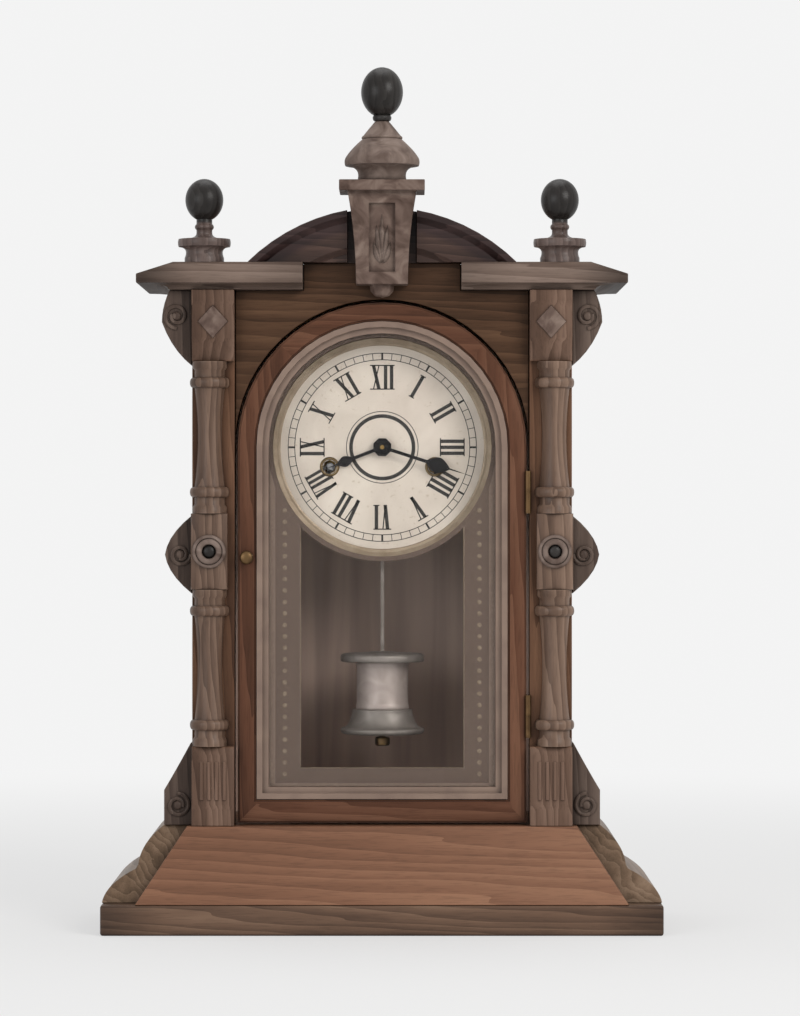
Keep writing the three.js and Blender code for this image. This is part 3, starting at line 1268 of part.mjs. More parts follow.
function frontPlate() {
  const drilled = plate([
    [0, dialZ, ARBOR_RADIUS], [thirdX, thirdZ, PIVOT_RADIUS], [0, escapeZ, PIVOT_RADIUS],
    [0, pivotZ, ARBOR_RADIUS], [hammerX, hammerZ, PIVOT_RADIUS],
    [windingX, windingZ, WINDING_ARBOR_RADIUS], [-windingX, windingZ, WINDING_ARBOR_RADIUS],
  ], frontPlateY, trainFrontY);
  const springBackY = trainFrontY + SPRING_PLANE + SPRING_WIDTH;
  const studZ = windingZ - SPRING_OUTER_RADIUS - SPRING_STRIP / 2 - SEAT_GAP - SPRING_STUD_RADIUS;
  const overlap = PLATE_THICKNESS / 2;
  return join(
    drilled,
    rodAlongY(0, pivotZ + SUSPENSION_POST_RISE, SUSPENSION_POST_RADIUS,
      rodY - NOSE_LENGTH, frontPlateY + overlap),
    rodAlongY(0, minuteZ, ARBOR_RADIUS, hourPlaneY - NOSE_LENGTH, frontPlateY + overlap),
    rodAlongY(windingX, studZ, SPRING_STUD_RADIUS, trainFrontY - overlap, springBackY),
    rodAlongY(-windingX, studZ, SPRING_STUD_RADIUS, trainFrontY - overlap, springBackY),
  );
}

function backPlate() {
  const drilled = plate([
    [0, dialZ, PIVOT_RADIUS], [thirdX, thirdZ, PIVOT_RADIUS], [0, escapeZ, PIVOT_RADIUS],
    [0, pivotZ, PIVOT_RADIUS], [hammerX, hammerZ, ARBOR_RADIUS],
    [windingX, windingZ, 2 * PIVOT_RADIUS], [-windingX, windingZ, 2 * PIVOT_RADIUS],
  ], trainBackY, movementBackY);
  const pillars = [];
  for (const x of [-PLATE_WIDTH / 2 + PILLAR_INSET, PLATE_WIDTH / 2 - PILLAR_INSET]) {
    for (const z of [plateFoot + PILLAR_INSET, plateTop - PILLAR_INSET]) {
      pillars.push(rodAlongY(x, z, PILLAR_RADIUS, trainFrontY, backboardY));
    }
  }
  return join(drilled, ...pillars);
}

// Verge with its crutch, which hangs in front of the plate and straddles the rod
function verge() {
  const swing = THREE.MathUtils.degToRad(PENDULUM_SWING);
  const span = THREE.MathUtils.degToRad(VERGE_SPAN) / 2;
  const inner = ESCAPE_RADIUS + SWEEP_GAP + swing * (pivotZ - escapeZ);
  const up = Math.PI / 2;
  const strip = new THREE.Shape();
  strip.absarc(0, escapeZ, inner + VERGE_STRIP, up - span, up + span, false);
  strip.absarc(0, escapeZ, inner, up + span, up - span, true);
  const crutchY = frontPlateY - CRUTCH_STEP;
  const crutchBackY = crutchY + CRUTCH_THICKNESS;
  const crutchFoot = pivotZ - CRUTCH_LENGTH;
  const half = CRUTCH_WIDTH / 2;
  const forkHalf = CRUTCH_FORK_WIDTH / 2;
  const slotHalf = ROD_WIDTH / 2 + FORK_GAP;
  const forkY = rodY - ROD_THICKNESS;
  const fork = cut(
    box(-forkHalf, forkHalf, forkY, crutchBackY, crutchFoot, crutchFoot + CRUTCH_FORK_HEIGHT),
    box(-slotHalf, slotHalf, forkY - OVERLAP, rodY + ROD_THICKNESS + FORK_GAP, crutchFoot - OVERLAP, pivotZ),
  );
  return join(
    alongY(strip, centrePlaneY, centrePlaneY + WHEEL_THICKNESS, 6),
    rodAlongY(0, pivotZ, VERGE_HUB_RADIUS, centrePlaneY, centrePlaneY + WHEEL_THICKNESS),
    box(-half, half, centrePlaneY, centrePlaneY + WHEEL_THICKNESS, escapeZ + inner + VERGE_STRIP / 2, pivotZ),
    rodAlongY(0, pivotZ, ARBOR_RADIUS, crutchY, trainBackY - RUNNING_GAP),
    rodAlongY(0, pivotZ, PIVOT_RADIUS, trainBackY - OVERLAP, movementBackY),
    box(-half, half, crutchY, crutchBackY, crutchFoot, pivotZ),
    fork,
  );
}

// Pendulum: a flat rod with an eye round the hand arbor, and a jar bob between caps
const jarFoot = pivotZ - PENDULUM_LENGTH - JAR_HEIGHT / 2;
const jarTop = jarFoot + JAR_HEIGHT;
const bobTop = jarTop + JAR_TOP_CAP_HEIGHT;

function pendulumRod() {
  const half = ROD_WIDTH / 2;
  const top = pivotZ + SUSPENSION_POST_RISE - SUSPENSION_POST_RADIUS - SEAT_GAP;
  const backRodY = rodY + ROD_THICKNESS;
  const grip = (ROD_EYE_RADIUS + ROD_EYE_BORE) / 2;
  const eye = new THREE.Shape().absarc(0, dialZ, ROD_EYE_RADIUS, 0, 2 * Math.PI, false);
  eye.holes.push(new THREE.Path().absarc(0, dialZ, ROD_EYE_BORE, 0, 2 * Math.PI, true));
  return join(
    alongY(eye, rodY, backRodY, SMALL_SIDES),
    box(-half, half, rodY, backRodY, dialZ + grip, top),
    box(-half, half, rodY, backRodY, bobTop + SEAT_GAP, dialZ - grip),
  );
}

function pendulumBob() {
  const capFoot = jarFoot - JAR_BOTTOM_CAP_HEIGHT;
  const path = new THREE.Path();
  path.moveTo(0, capFoot - RATING_NUT_HEIGHT);
  path.lineTo(RATING_NUT_RADIUS, capFoot - RATING_NUT_HEIGHT);
  path.lineTo(RATING_NUT_RADIUS, capFoot);
  path.lineTo(JAR_CAP_RADIUS - JAR_CAP_ROUND, capFoot);
  path.quadraticCurveTo(JAR_CAP_RADIUS, capFoot, JAR_CAP_RADIUS, capFoot + JAR_CAP_ROUND);
  path.quadraticCurveTo(JAR_FLARE_RADIUS, capFoot + JAR_CAP_ROUND, JAR_RADIUS + JAR_COLLAR, jarFoot);
  path.lineTo(JAR_RADIUS, jarFoot);
  path.lineTo(JAR_RADIUS, jarTop);
  path.lineTo(JAR_CAP_RADIUS, jarTop);
  path.lineTo(JAR_CAP_RADIUS, bobTop - JAR_CAP_ROUND / 2);
  path.lineTo(JAR_CAP_RADIUS - JAR_CAP_ROUND, bobTop);
  path.lineTo(0, bobTop);
  return turnedOnZ(path, 0, rodY + ROD_THICKNESS / 2, TURNED_SIDES, 3);
}

function addMovement() {
  piece('front_plate', frontPlate(), brass);
  piece('back_plate', backPlate(), brass);
  piece('centre_wheel', centreWheel(), brass);
  piece('third_wheel', thirdWheel(), brass);
  piece('escape_wheel', escapeWheel(), brass);
  piece('verge', verge(), steel);
  piece('minute_wheel', minuteWheel(), brass);
  piece('hour_wheel', hourWheel(), brass);
  piece('time_great_wheel', greatWheel(1, timePlaneY), brass);
  piece('time_winding_arbor', windingArbor(1, timePlaneY), steel);
  piece('time_mainspring', mainspring(1), steel);
  piece('strike_great_wheel', greatWheel(-1, strikePlaneY), brass);
  piece('strike_winding_arbor', windingArbor(-1, strikePlaneY), steel);
  piece('strike_mainspring', mainspring(-1), steel);
  piece('strike_hammer', hammer(), steel);
  piece('gong_coil', gongCoil(), iron);
  piece('gong_stand', gongStand(), iron);
  piece('pendulum_rod', pendulumRod(), brass);
  piece('pendulum_bob', pendulumBob(), silvered);
}

addBase();
addCarcass();
addFront();
addCrown();
addDoor();
addDial();
addMovement();

export default clock;
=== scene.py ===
import math
import bmesh
import bpy
from mathutils import Matrix, Vector


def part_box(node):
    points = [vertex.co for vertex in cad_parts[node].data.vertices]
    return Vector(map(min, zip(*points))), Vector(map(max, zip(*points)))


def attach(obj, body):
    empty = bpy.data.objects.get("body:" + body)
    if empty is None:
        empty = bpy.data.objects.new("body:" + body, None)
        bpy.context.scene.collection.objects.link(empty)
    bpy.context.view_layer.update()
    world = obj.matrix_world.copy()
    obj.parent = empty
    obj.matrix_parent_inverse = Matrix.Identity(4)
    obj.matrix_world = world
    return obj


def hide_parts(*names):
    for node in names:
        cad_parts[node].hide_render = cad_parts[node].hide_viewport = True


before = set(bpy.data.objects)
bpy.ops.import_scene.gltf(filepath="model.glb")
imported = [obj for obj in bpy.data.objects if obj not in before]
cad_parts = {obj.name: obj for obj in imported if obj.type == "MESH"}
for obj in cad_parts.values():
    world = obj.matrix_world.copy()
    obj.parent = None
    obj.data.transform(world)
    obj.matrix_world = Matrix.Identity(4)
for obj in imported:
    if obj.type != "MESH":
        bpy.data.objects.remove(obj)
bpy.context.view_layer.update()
scene = bpy.context.scene
MM = 0.001
WELD = 1e-6
TINY = 1e-7
SIDES = ("right", "left")


def metres(*parts):
    return tuple(part * MM for part in parts)


def in_mm(box):
    return [[part / MM for part in corner] for corner in box]


def middle_of(box):
    low, high = in_mm(box)
    return [(first + last) / 2 for first, last in zip(low, high)]


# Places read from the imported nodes, in millimetres like the sizes of the pieces
column_low, column_high = in_mm(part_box("column_right"))
pilaster_low, pilaster_high = in_mm(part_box("pilaster_right"))
cornice_low, cornice_high = in_mm(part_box("cornice_right"))
head_low, head_high = in_mm(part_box("head_board"))
urn_low, urn_high = in_mm(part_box("crest_urn"))
door_low, door_high = in_mm(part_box("door_frame"))
sight_low, sight_high = in_mm(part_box("door_sight_moulding"))
knob_low, knob_high = in_mm(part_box("door_knob"))
bob_low, bob_high = in_mm(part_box("pendulum_bob"))
board_low, board_high = in_mm(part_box("backboard"))
boss_low = in_mm(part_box("side_boss_right"))[0]
keystone_foot = in_mm(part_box("keystone"))[0][2]
finial_foot = in_mm(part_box("side_finial_right"))[0][2]
ball_foot = in_mm(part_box("crest_ball"))[0][2]
glass_back = in_mm(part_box("door_glass"))[1][1]
dial_y = in_mm(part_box("dial_pan"))[0][1]
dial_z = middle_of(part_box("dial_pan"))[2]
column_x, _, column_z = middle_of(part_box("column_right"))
column_back = column_high[1]
BLOCK_DEPTH = 9
block_face = column_back - BLOCK_DEPTH


# Shader helpers
def srgb(red, green, blue):
    def linear(value):
        share = value / 255
        return share / 12.92 if share <= 0.04045 else ((share + 0.055) / 1.055) ** 2.4
    return (linear(red), linear(green), linear(blue), 1.0)


def grey(value):
    return (value, value, value, 1.0)


def connect(tree, source, target):
    """Links a socket, or the first output of a node."""
    socket = source if isinstance(source, bpy.types.NodeSocket) else source.outputs[0]
    tree.links.new(socket, target)


NODE_PREFIX = {"SHADER": "ShaderNode", "GEOMETRY": "GeometryNode"}


def add(tree, kind, links=None, values=None, **settings):
    """A new node, by its full kind or by the short one that belongs to the tree."""
    made = tree.nodes.new(kind if "Node" in kind else NODE_PREFIX[tree.type] + kind)
    for key, value in settings.items():
        setattr(made, key, value)
    for key, value in (values or {}).items():
        made.inputs[key].default_value = value
    for key, source in (links or {}).items():
        connect(tree, source, made.inputs[key])
    return made


def cleared_tree(holder):
    holder.use_nodes = True
    holder.node_tree.nodes.clear()
    return holder.node_tree


def start_material(name, values=None):
    material = bpy.data.materials.new(name)
    tree = cleared_tree(material)
    shader = add(tree, "BsdfPrincipled", values=values)
    add(tree, "OutputMaterial", {"Surface": shader})
    return material, tree, shader


def calculate(tree, operation, first, second=None):
    made = add(tree, "Math", {0: first}, operation=operation)
    if isinstance(second, float):
        made.inputs[1].default_value = second
    elif second is not None:
        connect(tree, second, made.inputs[1])
    return made


def ramp(tree, factor, stops):
    """A stop is a place and a colour, or a place and a grey value."""
    made = add(tree, "ValToRGB", {"Fac": factor})
    elements = made.color_ramp.elements
    while len(elements) < len(stops):
        elements.new(0.5)
    for element, (place, tone) in zip(elements, stops):
        element.position = place
        element.color = tone if isinstance(tone, tuple) else grey(tone)
    return made


def place_on(tree, scale=(1, 1, 1), move=(0, 0, 0)):
    coordinates = add(tree, "TexCoord")
    return add(tree, "Mapping", {"Vector": coordinates.outputs["Object"]}, {"Scale": scale, "Location": move})


def noise(tree, vector, scale, detail=4.0, distortion=0.0):
    return add(tree, "TexNoise", {"Vector": vector}, {
        "Scale": scale, "Detail": detail, "Distortion": distortion})


# Sockets of the first value, the second value and the result
MIX_SOCKETS = {"FLOAT": (2, 3, 0), "VECTOR": (4, 5, 1), "RGBA": (6, 7, 2)}


def mix(tree, kind, factor, first, second, **settings):
    made = add(tree, "Mix", data_type=kind, **settings)
    first_place, second_place, result = MIX_SOCKETS[kind]
    for place, value in ((0, factor), (first_place, first), (second_place, second)):
        if isinstance(value, (float, tuple)):
            made.inputs[place].default_value = value
        else:
            connect(tree, value, made.inputs[place])
    return made.outputs[result]


def multiplied(tree, colour, by, share=1.0):
    return mix(tree, "RGBA", share, colour, by, blend_type="MULTIPLY")


def corner_shade(tree, distance, inside):
    made = add(tree, "AmbientOcclusion", values={"Distance": distance * MM}, samples=6, inside=inside)
    return made.outputs["AO"]


def dirt_and_corner_shade(tree, colour, reach, depth, unmarked=0.85):
    """Darkening in corners and recesses from an occlusion mask: part dirt, part painted shade."""
    # painted shade as well as dirt: the colour is darkened wherever the occlusion mask finds a corner
    corner_darkening = ramp(tree, corner_shade(tree, reach, False), [(0.2, depth), (unmarked, 1.0)])
    return multiplied(tree, colour, corner_darkening)


def finish_shader(tree, shader, colour, pattern, rough, relief, strength, height=0.1, last=0.7):
    """The colour, a gloss that follows a pattern, and a faint relief."""
    gloss = ramp(tree, pattern, [(0.3, rough[0]), (last, rough[1])])
    raised = add(tree, "Bump", {"Height": relief}, {"Strength": strength, "Distance": height * MM})
    for key, source in (("Base Color", colour), ("Roughness", gloss), ("Normal", raised)):
        connect(tree, source, shader.inputs[key])


# Tone that changes with the distance from a middle line, in shares of a fixed reach
TONE_REACH = 200


def tone_by_reach(tree, colour, scale, middle, stops):
    vector = place_on(tree, scale, metres(*(-part for part in middle)))
    away = add(tree, "VectorMath", {0: vector}, operation="LENGTH")
    share = add(tree, "MapRange", {"Value": away.outputs["Value"]}, {"From Max": TONE_REACH * MM})
    return multiplied(tree, colour, ramp(tree, share, stops))


# Wood: long figure, fine pores, darkening in the corners that is part dirt and part painted shade, and rubbed
# edges
GRAIN_STRETCH = {"X": (0.07, 1.0, 1.0), "Y": (1.0, 0.07, 1.0), "Z": (1.0, 1.0, 0.07)}
PORE_SCALE = 1100.0
BAND_SHARE = 0.45
RING_SHARE = 0.16
SPECK_SHARE = 0.5
RUBBED_REACH = 1.6
POLISH = {"Specular IOR Level": 0.2, "Coat Weight": 0.04, "Coat Roughness": 0.24}
DULL = {"Specular IOR Level": 0.1}


def mitred_grain(tree, along, mitre):
    """The grain of a frame turns at its mitres: behind the front run, or up the stiles of a door."""
    vector = place_on(tree, GRAIN_STRETCH[along])
    if mitre is None:
        return vector
    toward, reach, middle = mitre
    apart = add(tree, "SeparateXYZ", {"Vector": place_on(tree)})
    across = calculate(tree, "ABSOLUTE", apart.outputs["X"])
    if middle is None:
        past = calculate(tree, "ADD", across, apart.outputs[toward])
    else:
        from_middle = calculate(tree, "SUBTRACT", apart.outputs[toward], middle * MM)
        past = calculate(tree, "SUBTRACT", across, calculate(tree, "ABSOLUTE", from_middle))
    beyond = calculate(tree, "GREATER_THAN", past, reach * MM)
    return mix(tree, "VECTOR", beyond, vector, place_on(tree, GRAIN_STRETCH[toward]))


def wood(name, dark, middle, light, along="Z", figure=55.0, rough=(0.34, 0.5), polish=POLISH, zone=None,
         mitre=None):
    material, tree, shader = start_material(name, polish)
    vector = mitred_grain(tree, along, mitre)
    swirl = noise(tree, vector, figure * 0.35, 3.0, 1.2)
    bands = noise(tree, vector, figure, 6.0, 0.6)
    pores = noise(tree, vector, PORE_SCALE, 2.0)
    rings = add(tree, "TexWave", {"Vector": vector}, {
        "Scale": figure * 1.5, "Distortion": 16.0, "Detail": 3.0, "Detail Scale": 0.5},
        bands_direction="DIAGONAL", wave_profile="SAW")
    cloudy = mix(tree, "FLOAT", BAND_SHARE, swirl, bands)
    figured = mix(tree, "FLOAT", RING_SHARE, cloudy, rings.outputs["Fac"])
    colour = ramp(tree, figured, [(0.32, srgb(*dark)), (0.5, srgb(*middle)), (0.68, srgb(*light))])
    if zone:
        colour = tone_by_reach(tree, colour, *zone)
    colour = multiplied(tree, colour, ramp(tree, pores, [(0.34, 0.66), (0.5, 1.0)]), SPECK_SHARE)
    rubbed = ramp(tree, corner_shade(tree, RUBBED_REACH, True), [(0.35, 0.35), (0.8, 0.0)])
    colour = mix(tree, "RGBA", rubbed, colour, srgb(*light))
    finish_shader(tree, shader, dirt_and_corner_shade(tree, colour, reach=9, depth=0.4), bands, rough, pores, strength=0.1)
    return material


def burr(name, dark, middle, light):
    material, tree, shader = start_material(name, DULL)
    vector = place_on(tree)
    curl = noise(tree, vector, 70.0, 6.0, 1.1)
    eyes = add(tree, "TexVoronoi", {"Vector": vector}, {"Scale": 190.0})
    colour = ramp(tree, curl, [(0.3, srgb(*dark)), (0.5, srgb(*middle)), (0.72, srgb(*light))])
    colour = multiplied(tree, colour, ramp(tree, eyes, [(0.05, 0.7), (0.25, 1.0)]), 0.35)
    colour = dirt_and_corner_shade(tree, colour, reach=8, depth=0.4)
    finish_shader(tree, shader, colour, curl, (0.5, 0.66), curl, strength=0.06)
    return material


# Metal: an untarnished and a tarnished tone, with fine scratches and darkening in the corners that is part
# dirt and part painted shade
def metal(name, unmarked, tarnished, rough=(0.22, 0.42), scratch=(1, 1, 1), metallic=1.0):
    material, tree, shader = start_material(name, {"Metallic": metallic})
    patches = noise(tree, place_on(tree), 90.0, 6.0, 0.8)
    scratches = noise(tree, place_on(tree, scratch), 1400.0, 2.0)
    colour = ramp(tree, patches, [(0.35, srgb(*unmarked)), (0.72, srgb(*tarnished))])
    colour = dirt_and_corner_shade(tree, colour, reach=3, depth=0.5, unmarked=0.8)
    finish_shader(tree, shader, colour, patches, rough, scratches, strength=0.08, height=0.05, last=0.75)
    return material


def printed(name, dark, light):
    material, tree, shader = start_material(name, {"Roughness": 0.6})
    patches = noise(tree, place_on(tree), 700.0)
    colour = ramp(tree, patches, [(0.35, srgb(*dark)), (0.7, srgb(*light))])
    connect(tree, colour, shader.inputs["Base Color"])
    return material


def gilt(name, dark, light):
    material, tree, shader = start_material(name, {"Metallic": 0.2, "Specular IOR Level": 0.3})
    patches = noise(tree, place_on(tree), 60.0, 5.0, 0.4)
    colour = ramp(tree, patches, [(0.3, srgb(*dark)), (0.7, srgb(*light))])
    colour = dirt_and_corner_shade(tree, colour, reach=4, depth=0.45)
    finish_shader(tree, shader, colour, patches, (0.36, 0.56), patches, strength=0.05)
    return material


def dial_paint(name, dark, middle, light, spot):
    material, tree, shader = start_material(name)
    vector = place_on(tree)
    clouds = noise(tree, vector, 28.0, 6.0, 0.7)
    specks = noise(tree, vector, 420.0, 3.0)
    colour = ramp(tree, clouds, [(0.3, srgb(*dark)), (0.52, srgb(*middle)), (0.7, srgb(*light))])
    colour = multiplied(tree, colour, ramp(tree, specks, [(0.27, srgb(*spot)), (0.36, 1.0)]), 0.4)
    finish_shader(tree, shader, colour, clouds, (0.42, 0.58), specks, strength=0.05)
    return material


# Backboard: bare wood with saw marks inside the case and a darker rear face; the inside is lifted pale and
# lighter toward the foot, painted light that makes up for the shade in the case
BOARD_LIGHT_SPAN = (90, 270)
REAR_SKIN = 0.5


def board_wood(name, low, high, outer):
    material, tree, shader = start_material(name, {"Specular IOR Level": 0.2})
    bands = noise(tree, place_on(tree, GRAIN_STRETCH["Z"]), 60.0, 6.0, 0.8)
    saw_marks = noise(tree, place_on(tree, (0.05, 1.0, 1.0)), 420.0, 2.0)
    apart = add(tree, "SeparateXYZ", {"Vector": place_on(tree)})
    rear = calculate(tree, "GREATER_THAN", apart.outputs["Y"], (board_high[1] - REAR_SKIN) * MM)
    # painted light: the inside tone changes with height, lighter toward the foot, to make up for the shade in
    # the case
    height = add(tree, "MapRange", {"Value": apart.outputs["Z"]}, {
        "From Min": BOARD_LIGHT_SPAN[0] * MM, "From Max": BOARD_LIGHT_SPAN[1] * MM})
    colour = mix(tree, "RGBA", height, srgb(*low), srgb(*high))
    colour = mix(tree, "RGBA", rear, colour, srgb(*outer))
    colour = multiplied(tree, colour, ramp(tree, bands, [(0.3, 0.72), (0.7, 1.1)]))
    finish_shader(tree, shader, colour, bands, (0.6, 0.78), saw_marks, strength=0.05)
    return material


# Glass that lets shadows and diffuse light through
def pane(name):
    material, tree, shader = start_material(name, {"Transmission Weight": 1.0, "IOR": 1.12, "Roughness": 0.0})
    ripples = noise(tree, place_on(tree, (1, 1, 0.4)), 24.0, 2.0)
    tint = ramp(tree, ripples, [(0.3, srgb(246, 247, 245)), (0.7, srgb(251, 251, 250))])
    connect(tree, tint, shader.inputs["Base Color"])
    ray = add(tree, "LightPath").outputs
    unseen = calculate(tree, "MAXIMUM", ray["Is Shadow Ray"], ray["Is Diffuse Ray"])
    clear = add(tree, "BsdfTransparent", values={"Color": srgb(248, 248, 247)})
    mixed = add(tree, "MixShader", {0: unseen, 1: shader, 2: clear})
    out = next(node for node in tree.nodes if node.type == "OUTPUT_MATERIAL")
    connect(tree, mixed, out.inputs["Surface"])
    return material


# Mitres: the axis that the grain turns to, the reach of the mitre and the middle of a frame
CORNICE_MITRE = ("Y", cornice_high[0] + cornice_low[1], None)
DOOR_ARCH_Z = door_high[2] - door_high[0]
DOOR_RAIL_Z = door_low[2] + door_high[0]
DOOR_MITRE = ("Z", (DOOR_RAIL_Z - DOOR_ARCH_Z) / 2, (DOOR_ARCH_Z + DOOR_RAIL_Z) / 2)

# Zones: the directions that count, the middle, and the tones at shares of the reach
ACROSS = (1, 0, 0)
UPRIGHT = (0, 0, 1)
ROUND = (1, 0, 1)
CENTRE = (0, 0, 0)
HOOD_CENTRE = (0, 0, 350)
BLACKENED = (0.18, 0.22, 0.23, 1.0)
REDDENED = (0.95, 0.79, 0.64, 1.0)
VIOLET_GREY = srgb(200, 196, 212)
PLINTH_ZONE = (ACROSS, CENTRE, [(0.7, 1.0), (0.9, 0.5)])
# painted shade: the cornice is darker toward its thin outer tips, whose undersides fall in shadow, and a
# little darker at its inner ends
CORNICE_SHADE_ZONE = (ACROSS, CENTRE, [(0.26, 0.74), (0.45, 1.05), (0.62, 1.0), (0.78, 0.36)])
HOOD_ZONE = (ROUND, HOOD_CENTRE, [(0.55, 1.0), (0.57, VIOLET_GREY)])
FINIAL_ZONE = (UPRIGHT, (0, 0, finial_foot), [(0.128, 1.0), (0.134, BLACKENED)])
PILASTER_ZONE = (UPRIGHT, (0, 0, column_z), [(0.63, REDDENED), (0.64, 1.0)])

panel_wood = wood("base panel", (98, 66, 48), (122, 85, 64), (143, 104, 80), "X", 36.0)
plinth_wood = wood("plinth", (70, 52, 41), (104, 80, 64), (132, 106, 87), "X", zone=PLINTH_ZONE)
end_wood = wood("base end walnut", (70, 56, 43), (106, 86, 69), (134, 112, 93), "Y", polish=DULL)
walnut_across = wood("walnut, grain across", (86, 60, 46), (118, 86, 67), (146, 112, 90), "X", 42.0)
walnut_upright = wood("walnut, grain upright", (70, 48, 37), (102, 72, 55), (130, 96, 76), "Z", 42.0)
column_wood = wood("column walnut", (58, 42, 33), (98, 77, 64), (134, 110, 94))
pilaster_wood = wood("pilaster walnut", (58, 42, 34), (93, 72, 60), (122, 98, 84), polish=DULL,
                     zone=PILASTER_ZONE)
carved_wood = wood("carved walnut", (46, 37, 33), (77, 64, 57), (106, 91, 82), polish=DULL)
cornice_wood = wood("cornice walnut", (62, 49, 44), (98, 82, 73), (126, 109, 99), "X", rough=(0.5, 0.66),
                    polish=DULL, zone=CORNICE_SHADE_ZONE, mitre=CORNICE_MITRE)
door_wood = wood("door walnut", (60, 38, 27), (88, 57, 42), (112, 78, 60), "X", polish=DULL, mitre=DOOR_MITRE)
head_wood = wood("head board walnut", (48, 33, 22), (74, 52, 37), (98, 72, 53), "X", polish=DULL)
black_tipped = wood("part ebonised turning", (58, 46, 42), (88, 74, 69), (118, 102, 96), "Z", 70.0,
                    (0.3, 0.44), zone=FINIAL_ZONE)
hood_wood = wood("hood moulding", (38, 27, 23), (63, 46, 40), (88, 68, 60), "X", zone=HOOD_ZONE)
burr_veneer = burr("burr veneer", (70, 55, 48), (98, 81, 73), (128, 111, 101))
pale_burr = burr("pale burr veneer", (82, 67, 60), (112, 97, 89), (140, 124, 115))
back_wood = board_wood("backboard", (204, 174, 160), (190, 170, 160), (132, 104, 80))
gilt_sight = gilt("worn gilt", (119, 100, 89), (135, 115, 102))
border_print = printed("border print", (86, 69, 60), (97, 79, 69))
border_painted_light_edge = printed("border edge painted light", (120, 101, 90), (134, 114, 102))
border_gilt = printed("border line", (112, 95, 80), (136, 119, 101))
brass = metal("lacquered brass", (176, 146, 92), (126, 98, 56), (0.3, 0.5))
aged_brass = metal("aged brass", (132, 114, 86), (92, 76, 54), (0.36, 0.54))
bezel_brass = metal("pale bezel brass", (168, 150, 130), (146, 128, 108), (0.36, 0.52), metallic=0.4)
dark_brass = metal("darkened brass", (104, 82, 56), (66, 50, 36), (0.38, 0.56))
steel = metal("turned steel", (170, 170, 172), (108, 106, 106))
blued = metal("blued steel", (34, 32, 34), (22, 20, 20), (0.3, 0.45), metallic=0.6)
silvered = metal("silvered jar", (176, 162, 157), (156, 142, 137), (0.4, 0.56), (0.05, 0.05, 1.0), 0.2)
dull_silver = metal("dull silvered cap", (136, 128, 123), (112, 104, 99), (0.42, 0.58), metallic=0.3)
rod_metal = metal("nickelled rod", (140, 131, 126), (100, 91, 86), (0.3, 0.46))
iron = metal("black iron", (52, 50, 48), (34, 32, 30), (0.45, 0.6), metallic=0.7)
cream_dial = dial_paint("aged cream dial", (213, 199, 187), (225, 212, 200), (235, 223, 211), (196, 180, 154))
black_print = printed("dial print", (26, 23, 22), (50, 45, 42))
clear_pane = pane("old window glass")


# Mesh helpers, with sizes in millimetres
class Line:
    """Points drawn one after another with straight runs, curves, beads and bulges."""

    def __init__(self, across, up):
        self.points = [(across, up)]

    def to(self, across, up):
        self.points.append((across, up))
        return self

    def curve(self, pull_across, pull_up, across, up, steps=10):
        start_across, start_up = self.points[-1]
        for step in range(1, steps + 1):
            share = step / steps
            left = 1 - share
            self.to(left * left * start_across + 2 * left * share * pull_across + share * share * across,
                    left * left * start_up + 2 * left * share * pull_up + share * share * up)
        return self

    def bead(self, swell, height, steps=8):
        across, up = self.points[-1]
        return self.curve(across + swell, up + height / 2, across, up + height, steps)

    def bulge(self, radius, height, seat, steps=24):
        rise = math.sqrt(1 - (seat / radius) ** 2)
        middle = self.points[-1][1] + rise * height / 2
        first = -math.asin(rise)
        for step in range(1, steps + 1):
            angle = first + (math.pi / 2 - first) * step / steps
            self.to(max(0.0, radius * math.cos(angle)), middle + height / 2 * math.sin(angle))
        return self


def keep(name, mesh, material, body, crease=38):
    mesh.name = name
    piece = bpy.data.objects.new(name, mesh)
    scene.collection.objects.link(piece)
    mesh.materials.clear()
    mesh.materials.append(material)
    for face in mesh.polygons:
        face.use_smooth = True
    mesh.set_sharp_from_angle(angle=math.radians(crease))
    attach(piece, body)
    return piece


def flipped(mesh):
    other = mesh.copy()
    other.transform(Matrix.Scale(-1, 4, (1, 0, 0)))
    other.flip_normals()
    return other


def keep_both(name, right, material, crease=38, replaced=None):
    """The right-hand mesh and its mirror image, as two pieces of the case."""
    for side, mesh in zip(SIDES, (right, flipped(right))):
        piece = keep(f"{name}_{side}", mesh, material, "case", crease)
        if replaced:
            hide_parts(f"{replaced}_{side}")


def as_mesh(work):
    mesh = bpy.data.meshes.new("piece")
    work.to_mesh(mesh)
    work.free()
    return mesh


def finish_mesh(work):
    bmesh.ops.remove_doubles(work, verts=work.verts, dist=WELD)
    bmesh.ops.recalc_face_normals(work, faces=work.faces)
    return as_mesh(work)


def joined(meshes):
    work = bmesh.new()
    for mesh in meshes:
        work.from_mesh(mesh)
    return as_mesh(work)


def move_back(work, grown, depth):
    moved = [part for part in grown["geom"] if isinstance(part, bmesh.types.BMVert)]
    bmesh.ops.translate(work, vec=(0, depth * MM, 0), verts=moved)


def turned(line, centre, along="Z", segments=64, half=False):
    work = bmesh.new()
    first, last = (math.pi, 2 * math.pi) if half else (0.0, 2 * math.pi)
    rows = []
    for step in range(segments + 1):
        angle = first + (last - first) * step / segments
        row = []
        for radius, up in line.points:
            across, deep = radius * math.cos(angle), radius * math.sin(angle)
            place = (across, deep, up) if along == "Z" else (across, up, deep)
            row.append(work.verts.new(metres(*(part + shift for part, shift in zip(place, centre)))))
        rows.append(row)
    for row, after in zip(rows, rows[1:]):
        for k in range(len(row) - 1):
            work.faces.new((row[k], after[k], after[k + 1], row[k + 1]))
    if half:
        work.faces.new(rows[0] + rows[-1][::-1])
    bmesh.ops.dissolve_degenerate(work, edges=work.edges, dist=TINY)
    return finish_mesh(work)


